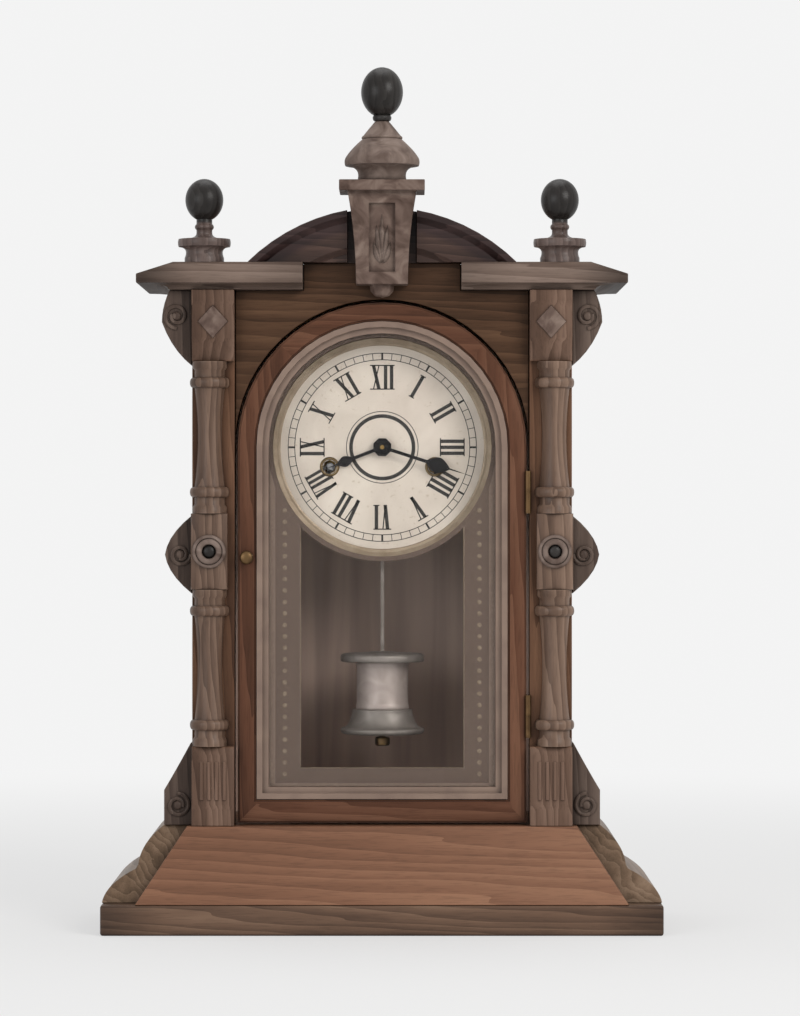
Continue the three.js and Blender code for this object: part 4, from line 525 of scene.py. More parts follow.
def sawn(outline, front, back, ease=0.0):
    work = bmesh.new()
    face = work.faces.new([work.verts.new(metres(x, front, z)) for x, z in outline])
    move_back(work, bmesh.ops.extrude_face_region(work, geom=[face]), back - front)
    if ease > 0:
        edges = [edge for edge in work.edges if all(abs(v.co.y - front * MM) < TINY for v in edge.verts)]
        bmesh.ops.bevel(work, geom=edges, offset=ease * MM, segments=2, profile=0.5, affect="EDGES",
                        clamp_overlap=True)
    return finish_mesh(work)


def rectangle(left, right, foot, top):
    return [(left, foot), (right, foot), (right, top), (left, top)]


def mesh_of(holder):
    scene.collection.objects.link(holder)
    shape = holder.evaluated_get(bpy.context.evaluated_depsgraph_get())
    mesh = bpy.data.meshes.new_from_object(shape)
    bpy.data.objects.remove(holder)
    return mesh


def rounded_rod(routes, radius):
    path = bpy.data.curves.new("rod", "CURVE")
    path.dimensions = "3D"
    path.bevel_depth = radius * MM
    path.bevel_resolution = 2
    path.use_fill_caps = True
    for route in routes:
        spline = path.splines.new("POLY")
        spline.points.add(len(route) - 1)
        for point, place in zip(spline.points, route):
            point.co = (*metres(*place), 1.0)
    return mesh_of(bpy.data.objects.new("rod", path))


# Node trees for what repeats
def start_tree(name, inputs):
    tree = bpy.data.node_groups.new(name, "GeometryNodeTree")
    tree.interface.new_socket("Geometry", in_out="INPUT", socket_type="NodeSocketGeometry")
    for label, kind in inputs.items():
        tree.interface.new_socket(label, in_out="INPUT", socket_type=f"NodeSocket{kind}")
    tree.interface.new_socket("Geometry", in_out="OUTPUT", socket_type="NodeSocketGeometry")
    entry = tree.nodes.new("NodeGroupInput")
    leave = tree.nodes.new("NodeGroupOutput")
    return tree, entry.outputs, leave.inputs["Geometry"]


def end_tree(tree, instances, material, leave):
    real = add(tree, "RealizeInstances", {"Geometry": instances})
    dressed = add(tree, "SetMaterial", {"Geometry": real, "Material": material})
    connect(tree, dressed, leave)
    return tree


def tick_ring_tree():
    tree, inputs, leave = start_tree("tick ring", {
        "Count": "Int", "Radius": "Float", "Tick": "Vector", "Centre": "Vector", "Finish": "Material"})
    circle = add(tree, "MeshCircle", {"Vertices": inputs["Count"], "Radius": inputs["Radius"]})
    tick = add(tree, "MeshCube", {"Size": inputs["Tick"]})
    place = add(tree, "InputPosition")
    turn = add(tree, "FunctionNodeAlignRotationToVector", {"Vector": place}, axis="X")
    ring = add(tree, "InstanceOnPoints", {"Points": circle, "Instance": tick, "Rotation": turn})
    stand = add(tree, "Transform", {"Geometry": ring, "Translation": inputs["Centre"]}, {
        "Rotation": (math.pi / 2, 0, 0)})
    return end_tree(tree, stand, inputs["Finish"], leave)


def bead_row_tree():
    tree, inputs, leave = start_tree("bead row", {
        "Pitch": "Float", "Radius": "Float", "Flatten": "Vector", "Finish": "Material"})
    path = add(tree, "MeshToCurve", {"Mesh": inputs["Geometry"]})
    spaced = add(tree, "ResampleCurve", {"Curve": path, "Length": inputs["Pitch"]}, mode="LENGTH")
    bead = add(tree, "MeshUVSphere", {"Radius": inputs["Radius"]}, {"Segments": 12, "Rings": 7})
    row = add(tree, "InstanceOnPoints", {"Points": spaced, "Instance": bead, "Scale": inputs["Flatten"]})
    return end_tree(tree, row, inputs["Finish"], leave)


def screw_row_tree():
    tree, inputs, leave = start_tree("screw row", {
        "Head radius": "Float", "Head height": "Float", "Slot": "Vector", "Turn": "Vector", "Seed": "Int",
        "Finish": "Material"})
    head = add(tree, "MeshCylinder", {
        "Radius": inputs["Head radius"], "Depth": inputs["Head height"]}, {"Vertices": 20})
    slot = add(tree, "MeshCube", {"Size": inputs["Slot"]})
    lift = add(tree, "ShaderNodeCombineXYZ", {"Z": inputs["Head height"]})
    raised = add(tree, "Transform", {"Geometry": slot, "Translation": lift})
    screw = add(tree, "MeshBoolean", {"Mesh 1": head, "Mesh 2": raised}, operation="DIFFERENCE")
    spin = add(tree, "FunctionNodeRandomValue", {"Seed": inputs["Seed"]}, {"Max": math.pi}, data_type="FLOAT")
    own_turn = add(tree, "ShaderNodeCombineXYZ", {"Z": spin.outputs[1]})
    row = add(tree, "InstanceOnPoints", {"Points": inputs["Geometry"], "Instance": screw})
    faced = add(tree, "RotateInstances", {"Instances": row, "Rotation": inputs["Turn"]})
    spun = add(tree, "RotateInstances", {"Instances": faced, "Rotation": own_turn})
    return end_tree(tree, spun, inputs["Finish"], leave)


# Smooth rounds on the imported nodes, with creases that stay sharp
def smooth_tree():
    tree, inputs, leave = start_tree("smooth rounds", {"Crease": "Float"})
    merged = add(tree, "MergeByDistance", {"Geometry": inputs["Geometry"]}, {"Distance": WELD})
    angle = add(tree, "InputMeshEdgeAngle")
    gentle = add(tree, "FunctionNodeCompare", {0: angle, 1: inputs["Crease"]}, data_type="FLOAT",
                 operation="LESS_THAN")
    faces = add(tree, "SetShadeSmooth", {"Geometry": merged}, domain="FACE")
    edges = add(tree, "SetShadeSmooth", {"Geometry": faces, "Shade Smooth": gentle}, domain="EDGE")
    connect(tree, edges, leave)
    return tree


def set_tree(modifier, tree, values):
    modifier.node_group = tree
    for item in tree.interface.items_tree:
        if item.in_out == "INPUT" and item.name in values:
            modifier[item.identifier] = values[item.name]


def grow(tree, points, values):
    source = bpy.data.meshes.new("points")
    links = [(k, k + 1) for k in range(len(points) - 1)]
    source.from_pydata([metres(*point) for point in points], links, [])
    holder = bpy.data.objects.new("points", source)
    set_tree(holder.modifiers.new("repeat", "NODES"), tree, values)
    return mesh_of(holder)


tick_ring = tick_ring_tree()
bead_row = bead_row_tree()
screw_row = screw_row_tree()
smooth_rounds = smooth_tree()
CREASE = math.radians(34)
FLAT = math.radians(0.5)


def dress(node, material, edge):
    body = bpy.data.objects[node]
    body.data.materials.clear()
    body.data.materials.append(material)
    set_tree(body.modifiers.new("smooth", "NODES"), smooth_rounds, {"Crease": CREASE})
    if edge > 0:
        flat = body.modifiers.new("flat", "DECIMATE")
        flat.decimate_type = "DISSOLVE"
        flat.angle_limit = FLAT
        bevel = body.modifiers.new("edge", "BEVEL")
        bevel.width = edge * MM
        bevel.segments = 2
        bevel.limit_method = "ANGLE"
        bevel.angle_limit = CREASE
        bevel.harden_normals = True


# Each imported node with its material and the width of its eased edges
PAIRED_FINISHES = (
    ("base_end", end_wood, 0.8), ("side_panel", walnut_upright, 0.6), ("pilaster", pilaster_wood, 0.7),
    ("lower_bracket", carved_wood, 0.9), ("side_boss", carved_wood, 0.9), ("upper_bracket", carved_wood, 0.9),
    ("cornice", cornice_wood, 0.6), ("column", column_wood, 0), ("side_finial", black_tipped, 0))
FINISHES = (
    ("base_plinth", plinth_wood, 1.6), ("base_front_panel", panel_wood, 0.8),
    ("base_back_rail", walnut_across, 0.4), ("case_floor", walnut_across, 0.4), ("backboard", back_wood, 0.4),
    ("top_board", walnut_across, 0.6), ("head_board", head_wood, 0.6), ("hood_arch", hood_wood, 0.6),
    ("keystone", burr_veneer, 0.6), ("crest_urn", pale_burr, 0), ("crest_ball", black_tipped, 0),
    ("door_frame", door_wood, 0.5), ("door_sight_moulding", gilt_sight, 0.4), ("door_glass", clear_pane, 0),
    ("dial_pan", cream_dial, 0), ("dial_bezel", bezel_brass, 0), ("hour_hand", blued, 0.12),
    ("minute_hand", blued, 0.12), ("pendulum_rod", rod_metal, 0.1), ("pendulum_bob", silvered, 0),
    ("gong_coil", iron, 0), ("gong_stand", iron, 0))
PLAIN_METAL = {
    dark_brass: ("door_knob", "case_hinge_lower", "case_hinge_upper", "door_hinge_lower", "door_hinge_upper"),
    brass: ("front_plate", "back_plate", "centre_wheel", "third_wheel", "escape_wheel", "minute_wheel",
            "hour_wheel", "time_great_wheel", "strike_great_wheel"),
    steel: ("verge", "time_winding_arbor", "strike_winding_arbor", "time_mainspring", "strike_mainspring",
            "strike_hammer")}
for node, material, edge in PAIRED_FINISHES:
    for side in SIDES:
        dress(f"{node}_{side}", material, edge)
for node, material, edge in FINISHES:
    dress(node, material, edge)
for material, nodes in PLAIN_METAL.items():
    for node in nodes:
        dress(node, material, 0)


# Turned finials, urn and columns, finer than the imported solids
def turned_finials():
    foot, ring, stem, ball = 13, 17, 5.2, 12.5
    half_ring, ball_height = 2.5, 28
    ring_z = finial_foot + 13
    stem_z = ring_z + 6.5
    line = Line(0, finial_foot).to(foot, finial_foot).to(foot, finial_foot + 3)
    line.curve(foot - 3, ring_z - 3, ring, ring_z - half_ring).bead(0.8, 2 * half_ring)
    line.curve(stem, ring_z + half_ring, stem, stem_z).to(stem, stem_z + 2).bead(2.2, 4)
    line.to(stem, stem_z + 9).bulge(ball, ball_height, stem)
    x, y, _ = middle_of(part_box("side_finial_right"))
    right = turned(line, (x, y, 0))
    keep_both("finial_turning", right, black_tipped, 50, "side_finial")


def turned_crest():
    foot, top = urn_low[2], urn_high[2]
    socle, rim, neck, mouth = 15, 24.2, 12.9, 4.3
    half_rim = 2.5
    rim_z = foot + 13
    neck_z = top - 12
    line = Line(0, foot).to(socle, foot).to(socle + 1, foot + 1.5)
    line.curve(socle - 1, rim_z - 3, rim, rim_z - half_rim).bead(1, 2 * half_rim)
    line.curve(21, rim_z + 8, neck, neck_z, 14).curve(neck + 1.5, neck_z + 1, neck - 0.7, neck_z + 2.4, 8)
    line.curve(2 * mouth, top - 5, mouth, top, 12).to(0, top)
    centre = (0, (urn_low[1] + urn_high[1]) / 2, 0)
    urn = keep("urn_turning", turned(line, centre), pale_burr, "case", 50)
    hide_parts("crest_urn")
    stem, seat, radius, height = 5.4, 6, 13.8, 33
    line = Line(0, ball_foot).to(stem, ball_foot).bead(1.6, 4).to(seat, ball_foot + 4)
    line.bulge(radius, height, seat)
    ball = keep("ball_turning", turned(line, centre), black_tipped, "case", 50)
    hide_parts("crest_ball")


def column_ring(line, radius, plain, middle, height):
    line.to(plain, middle - height / 2)
    line.curve(radius, middle - height / 2, radius, middle, 8)
    line.curve(radius, middle + height / 2, plain, middle + height / 2, 8)


def shaft(foot, top):
    plain, waist, ring, height = 10, 8, 13, 7
    end = plain + 1.4
    line = Line(0, foot).to(end, foot).to(end, foot + 4).to(plain, foot + 6)
    column_ring(line, ring, plain, foot + 2 * height, height)
    line.curve(2 * waist - plain, (foot + top) / 2, plain, top - 2.5 * height, 20)
    column_ring(line, ring, plain, top - 2 * height, height)
    return line.to(plain, top - 6).to(end, top - 4).to(end, top).to(0, top)


BLOCK_RISE = 103
BLOCK_HEIGHT = 50
BLOCK_HALF = 12


def turned_columns():
    foot, top = column_low[2], column_high[2]
    block_foot = foot + BLOCK_RISE
    block_top = block_foot + BLOCK_HEIGHT
    outline = rectangle(column_x - BLOCK_HALF, column_x + BLOCK_HALF, block_foot, block_top)
    centre = (column_x, column_back, 0)
    right = joined([
        turned(shaft(foot, block_foot), centre, segments=32, half=True),
        turned(shaft(block_top, top), centre, segments=32, half=True),
        sawn(outline, block_face, column_back, 1.2)])
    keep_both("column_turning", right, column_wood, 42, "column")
    hole, rim = 4.6, 11
    ring = Line(hole, 0).to(rim, 0).to(rim, -1.6).curve(10.8, -3, 9.6, -3, 6).curve(8.8, -3, 8.6, -2, 6)
    ring.curve(8.2, -4, 6.4, -4, 8).curve(4.8, -4, hole, -2.4, 6).to(hole, 0)
    boss = Line(4.4, 0).to(4.4, -1).curve(3.6, -2.9, 0, -3, 12)
    seat = (column_x, block_face, (block_foot + block_top) / 2)
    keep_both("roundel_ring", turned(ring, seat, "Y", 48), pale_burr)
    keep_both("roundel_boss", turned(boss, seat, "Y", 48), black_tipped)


# Jar bob: a bright jar between two duller caps, and its rating nut
def turned_bob():
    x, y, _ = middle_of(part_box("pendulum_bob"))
    middle = (x, y, 0)
    rim, wall, cap, throat = 17.4, 17.2, 28, 20
    nut, nut_edge, screw = 5, 4, 2.2
    nut_foot, top = bob_low[2], bob_high[2]
    cap_foot = nut_foot + 8
    jar_foot = cap_foot + 17
    jar_top = jar_foot + 31
    jar = Line(0, jar_foot - 1).to(rim, jar_foot - 1).bead(0.6, 4, 6)
    jar.to(wall, jar_foot + 4).to(wall, jar_top - 4).to(rim, jar_top - 3).bead(0.6, 4, 6).to(0, jar_top + 1)
    upper = Line(0, jar_top + 0.2).to(cap - 1.6, jar_top + 0.2).curve(cap, jar_top + 0.4, cap, jar_top + 2, 6)
    upper.to(cap, jar_top + 3.5).curve(cap, top - 1.2, cap - 4, top - 1, 8)
    upper.to(9, top - 0.6).to(8, top).to(0, top)
    lower = Line(0, cap_foot).to(cap - 4, cap_foot).curve(cap, cap_foot, cap, cap_foot + 3, 8)
    lower.curve(cap - 0.4, cap_foot + 4, cap - 1.6, cap_foot + 4.2, 6)
    lower.curve(throat + 2, cap_foot + 5, throat, jar_foot - 2, 12)
    lower.curve(throat + 0.4, jar_foot - 0.2, throat - 1.6, jar_foot - 0.2, 6).to(0, jar_foot - 0.2)
    nut_line = Line(0, nut_foot).to(nut_edge, nut_foot).to(nut, nut_foot + 1).to(nut, nut_foot + 5)
    nut_line.to(nut_edge, nut_foot + 6).to(screw, nut_foot + 6)
    nut_line.to(screw, cap_foot + 0.5).to(0, cap_foot + 0.5)
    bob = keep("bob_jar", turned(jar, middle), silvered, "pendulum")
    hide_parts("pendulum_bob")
    caps = [turned(upper, middle), turned(lower, middle)]
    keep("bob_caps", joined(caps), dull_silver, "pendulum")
    nut_mesh = turned(nut_line, middle, segments=24)
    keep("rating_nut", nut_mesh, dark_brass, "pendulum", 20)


def turned_knob():
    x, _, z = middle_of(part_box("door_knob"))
    back, tip = knob_high[1], knob_low[1]
    rose, neck, ball = 4.2, 2.2, 4.5
    line = Line(0, back).to(rose, back).to(rose, back - 0.6).curve(3.4, back - 1.2, neck, back - 1.6, 6)
    line.to(neck, tip + 4.6).curve(ball, tip + 4.4, ball, tip + 2.3, 8).curve(ball, tip, 0, tip, 10)
    mesh = turned(line, (x, 0, z), "Y", 40)
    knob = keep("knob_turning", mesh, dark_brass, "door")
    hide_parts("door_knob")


# Dial print: minute track, rings and roman hours
PRINT = 0.12
HOURS = ("XII", "I", "II", "III", "IIII", "V", "VI", "VII", "VIII", "IX", "X", "XI")
NUMERAL_HEIGHT = 16.5
NUMERAL_RADIUS = 46.6
NUMERAL_WIDTH = 17.5
STROKE = 2.3
HAIRLINE = 0.75
LETTER_WIDTH = {"I": 4.0, "V": 7.8, "X": 8.4}
DIAL_RINGS = ((19.6, 22.0), (23.6, 24.1), (58.0, 58.5), (62.4, 62.9))
TRACK_RADIUS = 60.4
TICKS = (("minute_ticks", 60, (4.4, 0.45, 0.12)), ("five_minute_ticks", 12, (4.4, 1.3, 0.14)))
WINDING_X = 35
WINDING_DROP = 13


def ring_print(inner, outer, front):
    line = Line(inner, 0).to(outer, 0).to(outer, -PRINT).to(inner, -PRINT).to(inner, 0)
    return turned(line, (0, front, dial_z), "Y", 96)


def bar(middle, up, width, height):
    return rectangle(middle - width / 2, middle + width / 2, up, up + height)


def slant(foot, top, width):
    half = width / 2
    return [(foot - half, 0), (foot + half, 0), (top + half, NUMERAL_HEIGHT), (top - half, NUMERAL_HEIGHT)]


def letter_shapes(letter, left):
    width = LETTER_WIDTH[letter]
    middle = left + width / 2
    near, far = left + STROKE, left + width - STROKE
    foot_serif = STROKE if letter == "V" else width
    strokes = {"I": [bar(middle, 0, STROKE, NUMERAL_HEIGHT)],
               "V": [slant(middle, near, STROKE), slant(middle, far, HAIRLINE)],
               "X": [slant(far, near, STROKE), slant(near, far, HAIRLINE)]}
    serifs = [bar(middle, NUMERAL_HEIGHT - HAIRLINE, width, HAIRLINE), bar(middle, 0, foot_serif, HAIRLINE)]
    return strokes[letter] + serifs


def numeral_mesh(text, angle):
    total = sum(LETTER_WIDTH[letter] for letter in text)
    squeeze = min(1.0, NUMERAL_WIDTH / total)
    left = -total / 2
    work = bmesh.new()
    for letter in text:
        for shape in letter_shapes(letter, left):
            corners = []
            for across, up in shape:
                side, out = across * squeeze, NUMERAL_RADIUS - NUMERAL_HEIGHT / 2 + up
                x = side * math.cos(angle) + out * math.sin(angle)
                z = -side * math.sin(angle) + out * math.cos(angle)
                corners.append(work.verts.new(metres(x, dial_y - PRINT, dial_z + z)))
            face = work.faces.new(corners)
            move_back(work, bmesh.ops.extrude_face_region(work, geom=[face]), PRINT)
        left += LETTER_WIDTH[letter]
    bmesh.ops.recalc_face_normals(work, faces=work.faces)
    return as_mesh(work)


def dial_print():
    hours = [numeral_mesh(text, 2 * math.pi * hour / 12) for hour, text in enumerate(HOURS)]
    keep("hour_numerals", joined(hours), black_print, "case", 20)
    rings = [ring_print(inner, outer, dial_y) for inner, outer in DIAL_RINGS]
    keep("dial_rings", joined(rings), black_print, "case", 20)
    for name, count, size in TICKS:
        mesh = grow(tick_ring, [(0, 0, 0)], {
            "Count": count, "Radius": TRACK_RADIUS * MM, "Tick": metres(*size),
            "Centre": metres(0, dial_y - PRINT / 2, dial_z), "Finish": black_print})
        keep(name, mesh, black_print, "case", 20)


# Lip over the rim of the dial and grommets in the winding holes
def dial_trim():
    inner, outer, seat, face = 67.7, 70.4, 0.3, -1.1
    lip = Line(inner, seat).to(inner, -seat).curve(inner + 0.2, face, inner + 1.2, face, 6)
    lip.to(outer, face).to(outer, seat).to(inner, seat)
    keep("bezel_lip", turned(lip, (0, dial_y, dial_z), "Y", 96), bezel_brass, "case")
    hole, rim = 4.7, 6.6
    grommet = Line(hole, 0.4).to(hole, -0.5).curve(5, -1.1, 5.8, -0.9, 5).to(rim, 0).to(hole, 0.4)
    hole_z = dial_z - WINDING_DROP
    holes = [turned(grommet, (x, dial_y, hole_z), "Y", 32) for x in (WINDING_X, -WINDING_X)]
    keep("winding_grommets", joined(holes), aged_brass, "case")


# Border printed on the inside of the glass, open round the dial; its lighter edge strip and the ring round
# the dial are painted light over shadow
HALO_INNER = 72.4
HALO_OUTER = 75.6
BORDER_INNER = 54.0
BORDER_INSET = 8.2
BORDER_FOOT = 12
EDGE_WIDTH = 4
EDGE_HEIGHT = 2
DOT_ENDS = (8, 42)


def under_halo(across):
    return dial_z - math.sqrt(HALO_OUTER ** 2 - across ** 2)


def glass_border():
    edge_front = glass_back + 0.05
    front = edge_front + 0.1
    rear = front + 0.15
    inner, outer = BORDER_INNER, sight_high[0] - BORDER_INSET
    foot = sight_low[2] + BORDER_INSET
    base_top = foot + BORDER_FOOT
    arc_steps = 16
    spread = [outer + (inner - outer) * step / arc_steps for step in range(arc_steps + 1)]
    strip = [(inner, foot), (outer, foot)] + [(across, under_halo(across)) for across in spread]
    right = sawn(strip, front, rear)
    base = sawn(rectangle(-inner, inner, foot, base_top), front, rear)
    # painted light: this ring of border print round the dial also covers the dark gap between bezel and sight
    # moulding, where shade falls
    halo = ring_print(HALO_INNER, HALO_OUTER, rear)
    panels = joined([right, flipped(right), base, halo])
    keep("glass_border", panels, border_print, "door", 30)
    # painted light: a lighter strip of print along the sight moulding, where its shadow falls on the border
    edge, edge_top = outer - EDGE_WIDTH, foot + EDGE_HEIGHT
    fillet = [(edge, edge_top), (outer, foot), (outer, under_halo(outer)), (edge, under_halo(edge))]
    edge_right = sawn(fillet, edge_front, front)
    edge_foot = [(-outer, foot), (outer, foot), (edge, edge_top), (-edge, edge_top)]
    edge_base = sawn(edge_foot, edge_front, front)
    edges = joined([edge_right, flipped(edge_right), edge_base])
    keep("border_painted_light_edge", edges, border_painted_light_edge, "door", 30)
    run_top = under_halo(inner)
    run = [(-inner, rear, run_top), (-inner, rear, base_top), (inner, rear, base_top), (inner, rear, run_top)]
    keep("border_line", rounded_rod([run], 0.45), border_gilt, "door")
    dot_y = front - 0.02
    dots = []
    for x in ((inner + outer) / 2, -(inner + outer) / 2):
        ends = [(x, dot_y, foot + DOT_ENDS[0]), (x, dot_y, dial_z - DOT_ENDS[1])]
        dots.append(grow(bead_row, ends, {
            "Pitch": 7.5 * MM, "Radius": 1.5 * MM, "Flatten": (1.0, 0.08, 1.0), "Finish": border_gilt}))
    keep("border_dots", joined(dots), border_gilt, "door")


# Relief on the case: scrolls on the brackets, panels, reeds and a palmette
SCROLL_TURNS = 1.3
SCROLL_LIFT = 0.25
SCROLL_SHRINK = 0.6
SCROLL_ROD = 1.4


def scroll(centre_x, centre_z, face_y, start_radius, first_angle):
    route = []
    steps = int(SCROLL_TURNS * 28)
    for step in range(steps + 1):
        share = step / steps
        radius = start_radius * (1 - SCROLL_SHRINK * share)
        angle = first_angle + 2 * math.pi * SCROLL_TURNS * share
        x, z = centre_x + radius * math.cos(angle), centre_z + radius * math.sin(angle)
        route.append((x, face_y - SCROLL_LIFT, z))
    return route


def carved_sides():
    case_x, face_y, _ = boss_low
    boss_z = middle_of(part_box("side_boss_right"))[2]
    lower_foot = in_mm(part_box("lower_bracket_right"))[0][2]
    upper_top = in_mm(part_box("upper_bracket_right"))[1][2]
    quarter = math.pi / 2
    scrolls = ((case_x + 9.5, lower_foot + 13, 8.0, quarter), (case_x + 7.7, boss_z, 7.0, 2 * quarter),
               (case_x + 10.2, upper_top - 17, 8.2, -quarter))
    routes = [scroll(x, z, face_y, radius, angle) for x, z, radius, angle in scrolls]
    eye = Line(0, 0.4).to(3, 0.4).to(3, -0.6).curve(2.6, -2.4, 0, -2.4, 10)
    eyes = [turned(eye, (x, face_y, z), "Y", 24) for x, z, _, _ in scrolls]
    right = joined([rounded_rod(routes, SCROLL_ROD), *eyes])
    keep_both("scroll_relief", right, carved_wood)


PANEL_MARGIN = 4
PANEL_HALF = 11
PANEL_DROP = 21
REEDS = 4
REED_MARGIN = 2.5
REED_RADIUS = 1.3
REED_ENDS = (17, 42)


def pilaster_panels():
    left, right = pilaster_low[0] + PANEL_MARGIN, pilaster_high[0] - PANEL_MARGIN
    x, z = (left + right) / 2, pilaster_high[2] - PANEL_DROP
    lozenge = [(left, z), (x, z - PANEL_HALF), (right, z), (x, z + PANEL_HALF)]
    veneer = sawn(lozenge, block_face - 1.6, block_face + 0.4, 1.2)
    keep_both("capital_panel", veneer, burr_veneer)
    foot, top = (pilaster_low[2] + end for end in REED_ENDS)
    pitch = (right - left - 2 * REED_MARGIN) / (REEDS - 1)
    reeds = []
    for step in range(REEDS):
        reed_x = left + REED_MARGIN + step * pitch
        reeds.append([(reed_x, block_face, foot), (reed_x, block_face, top)])
    reed_mesh = rounded_rod(reeds, REED_RADIUS)
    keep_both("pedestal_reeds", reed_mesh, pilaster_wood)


def leaf(base, tip, width, lift, back=0.8):
    work = bmesh.new()
    start, end = Vector(base), Vector(tip)
    run = end - start
    across = Vector((run.z, 0, -run.x)).normalized()
    rows = []
    steps = 8
    for step in range(steps + 1):
        share = step / steps
        spread = width * math.sin(math.pi * share ** 0.8)
        rise = lift * math.sin(math.pi * share)
        middle = start + run * share
        row = []
        for side in (-1, -0.5, 0, 0.5, 1):
            place = middle + across * spread * side + Vector((0, -rise * (1 - abs(side)), 0))
            row.append(work.verts.new(place * MM))
        rows.append(row)
    for row, after in zip(rows, rows[1:]):
        for k in range(len(row) - 1):
            work.faces.new((row[k], row[k + 1], after[k + 1], after[k]))
    bmesh.ops.remove_doubles(work, verts=work.verts, dist=WELD)
    edges = [edge for edge in work.edges if edge.is_boundary]
    move_back(work, bmesh.ops.extrude_edge_only(work, edges=edges), back)
    bmesh.ops.holes_fill(work, edges=[edge for edge in work.edges if edge.is_boundary])
    return finish_mesh(work)


KEYSTONE_DEPTH = 22
KEYSTONE_GROOVE = 3
SEAT_GAP = 0.3
PALMETTE_RISE = 22
LEAF_LENGTH = 22
LEAF_STEP = math.radians(27)


def keystone_palmette():
    face_y = head_low[1] - (SEAT_GAP + KEYSTONE_DEPTH - KEYSTONE_GROOVE)
    foot_z = keystone_foot + PALMETTE_RISE
    leaves = []
    for step in range(-2, 3):
        angle = step * LEAF_STEP
        length = LEAF_LENGTH - 3 * abs(step)
        tip = (length * math.sin(angle) * 0.44, face_y, foot_z + length * math.cos(angle) * 1.5)
        leaves.append(leaf((0.6 * step, face_y, foot_z), tip, 2.4, 2.7))
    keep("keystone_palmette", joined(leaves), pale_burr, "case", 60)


# Glue blocks behind the inner ends of the cornice, and screws in the backboard
GLUE_BLOCK = 8
GLUE_SEAT = 0.2
SCREW_INSET = 8
SCREW_END = 20
SCREWS = 5


def cornice_glue_blocks():
    inner = cornice_low[0] + GLUE_SEAT
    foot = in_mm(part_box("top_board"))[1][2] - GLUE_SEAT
    outline = rectangle(inner - GLUE_BLOCK, inner, foot, cornice_high[2] - GLUE_SEAT)
    front = head_high[1] - GLUE_SEAT
    right = sawn(outline, front, front + GLUE_BLOCK)
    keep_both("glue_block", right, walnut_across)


def back_screws():
    pitch = (board_high[2] - board_low[2] - 2 * SCREW_END) / (SCREWS - 1)
    points = []
    for x in (board_low[0] + SCREW_INSET, board_high[0] - SCREW_INSET):
        for step in range(SCREWS):
            points.append((x, board_high[1], board_low[2] + SCREW_END + step * pitch))
    mesh = grow(screw_row, points, {
        "Head radius": 3 * MM, "Head height": 1.2 * MM, "Slot": metres(7, 0.7, 1.4),
        "Turn": (-math.pi / 2, 0, 0), "Seed": 7, "Finish": brass})
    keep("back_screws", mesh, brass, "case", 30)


turned_finials()
turned_crest()
turned_columns()
turned_bob()
turned_knob()
dial_print()
dial_trim()
glass_border()
carved_sides()
pilaster_panels()
keystone_palmette()
cornice_glue_blocks()
back_screws()


# Camera, floor and soft studio light, in metres
VIEW_HEIGHT = 0.6675
VIEW_DISTANCE = 2.6
VIEW_CENTRE = (0.0118, 0.2786)
FRONT_PLANE = -0.05
SENSOR = 24
FLOOR_REACH = 6.0
FLOOR_FADE = (0.2, 1.6)
TARGET = (0, -0.03, 0.28)
AMBIENT = 0.62
BACKDROP = 1.0


def add_camera():
    lens = bpy.data.cameras.new("front view")
    lens.sensor_fit = "VERTICAL"
    lens.sensor_height = SENSOR
    lens.lens = SENSOR * VIEW_DISTANCE / VIEW_HEIGHT
    camera = bpy.data.objects.new("front view", lens)
    camera.location = (VIEW_CENTRE[0], FRONT_PLANE - VIEW_DISTANCE, VIEW_CENTRE[1])
    camera.rotation_euler = (math.pi / 2, 0, 0)
    scene.collection.objects.link(camera)
    scene.camera = camera


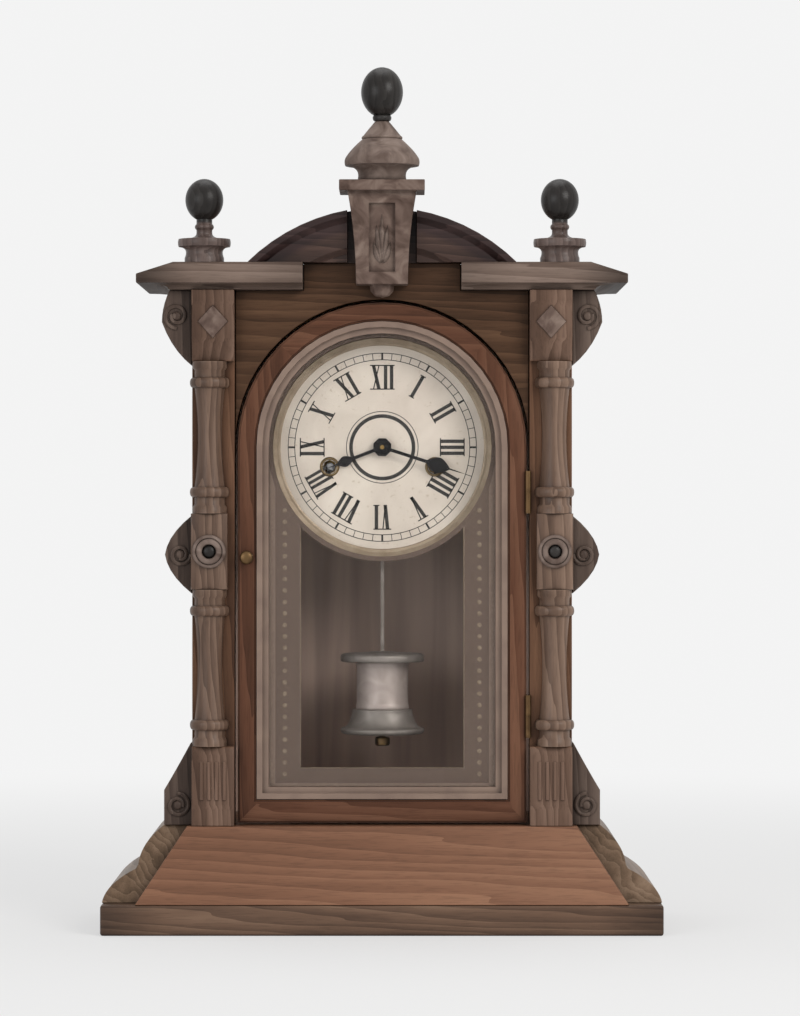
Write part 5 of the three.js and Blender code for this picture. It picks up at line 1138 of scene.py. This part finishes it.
def add_floor():
    material = bpy.data.materials.new("pale floor")
    tree = cleared_tree(material)
    away = add(tree, "VectorMath", {0: place_on(tree)}, operation="LENGTH").outputs["Value"]

    def with_distance(near, far):
        return add(tree, "MapRange", {"Value": away}, {
            "From Min": FLOOR_FADE[0], "From Max": FLOOR_FADE[1], "To Min": near, "To Max": far},
            interpolation_type="SMOOTHSTEP")

    dull = add(tree, "BsdfDiffuse", values={"Color": grey(0.86)})
    white = add(tree, "Emission", {"Strength": with_distance(0.8, 0.9)}, {"Color": grey(1.0)})
    ray = add(tree, "LightPath").outputs
    direct = calculate(tree, "MAXIMUM", ray["Is Camera Ray"], ray["Is Glossy Ray"])
    seen = calculate(tree, "MULTIPLY", direct, with_distance(0.6, 1.0))
    surface = add(tree, "MixShader", {0: seen, 1: dull, 2: white})
    add(tree, "OutputMaterial", {"Surface": surface})
    corners = rectangle(-FLOOR_REACH, FLOOR_REACH, -FLOOR_REACH, FLOOR_REACH)
    mesh = bpy.data.meshes.new("floor")
    mesh.from_pydata([(x, y, 0) for x, y in corners], [], [(0, 1, 2, 3)])
    mesh.materials.append(material)
    floor = bpy.data.objects.new("floor", mesh)
    scene.collection.objects.link(floor)


def add_lamp(name, place, size, power, colour):
    lamp = bpy.data.lights.new(name, "AREA")
    lamp.shape = "RECTANGLE"
    lamp.size, lamp.size_y = size
    lamp.energy = power
    lamp.color = colour
    holder = bpy.data.objects.new(name, lamp)
    holder.location = place
    holder.rotation_euler = (Vector(TARGET) - Vector(place)).to_track_quat("-Z", "Y").to_euler()
    scene.collection.objects.link(holder)


def add_world():
    world = bpy.data.worlds.new("studio")
    tree = cleared_tree(world)
    ambient, backdrop = (add(tree, "Background", values={"Color": grey(0.9), "Strength": strength})
                         for strength in (AMBIENT, BACKDROP))
    ray = add(tree, "LightPath").outputs
    direct = calculate(tree, "MAXIMUM", ray["Is Camera Ray"], ray["Is Transmission Ray"])
    seen = calculate(tree, "MAXIMUM", direct, ray["Is Glossy Ray"])
    both = add(tree, "MixShader", {0: seen, 1: ambient, 2: backdrop})
    add(tree, "OutputWorld", {"Surface": both})
    scene.world = world


add_camera()
add_floor()
add_world()
add_lamp("key", (1.3, -1.7, 1.3), (1.0, 1.0), 24.5, (1.0, 0.98, 0.95))
add_lamp("fill", (-1.5, -1.9, 0.7), (1.4, 1.2), 13.5, (0.96, 0.98, 1.0))
add_lamp("top", (0.0, 0.2, 2.0), (1.2, 1.2), 10, (1.0, 1.0, 1.0))
scene.view_settings.view_transform = "Standard"
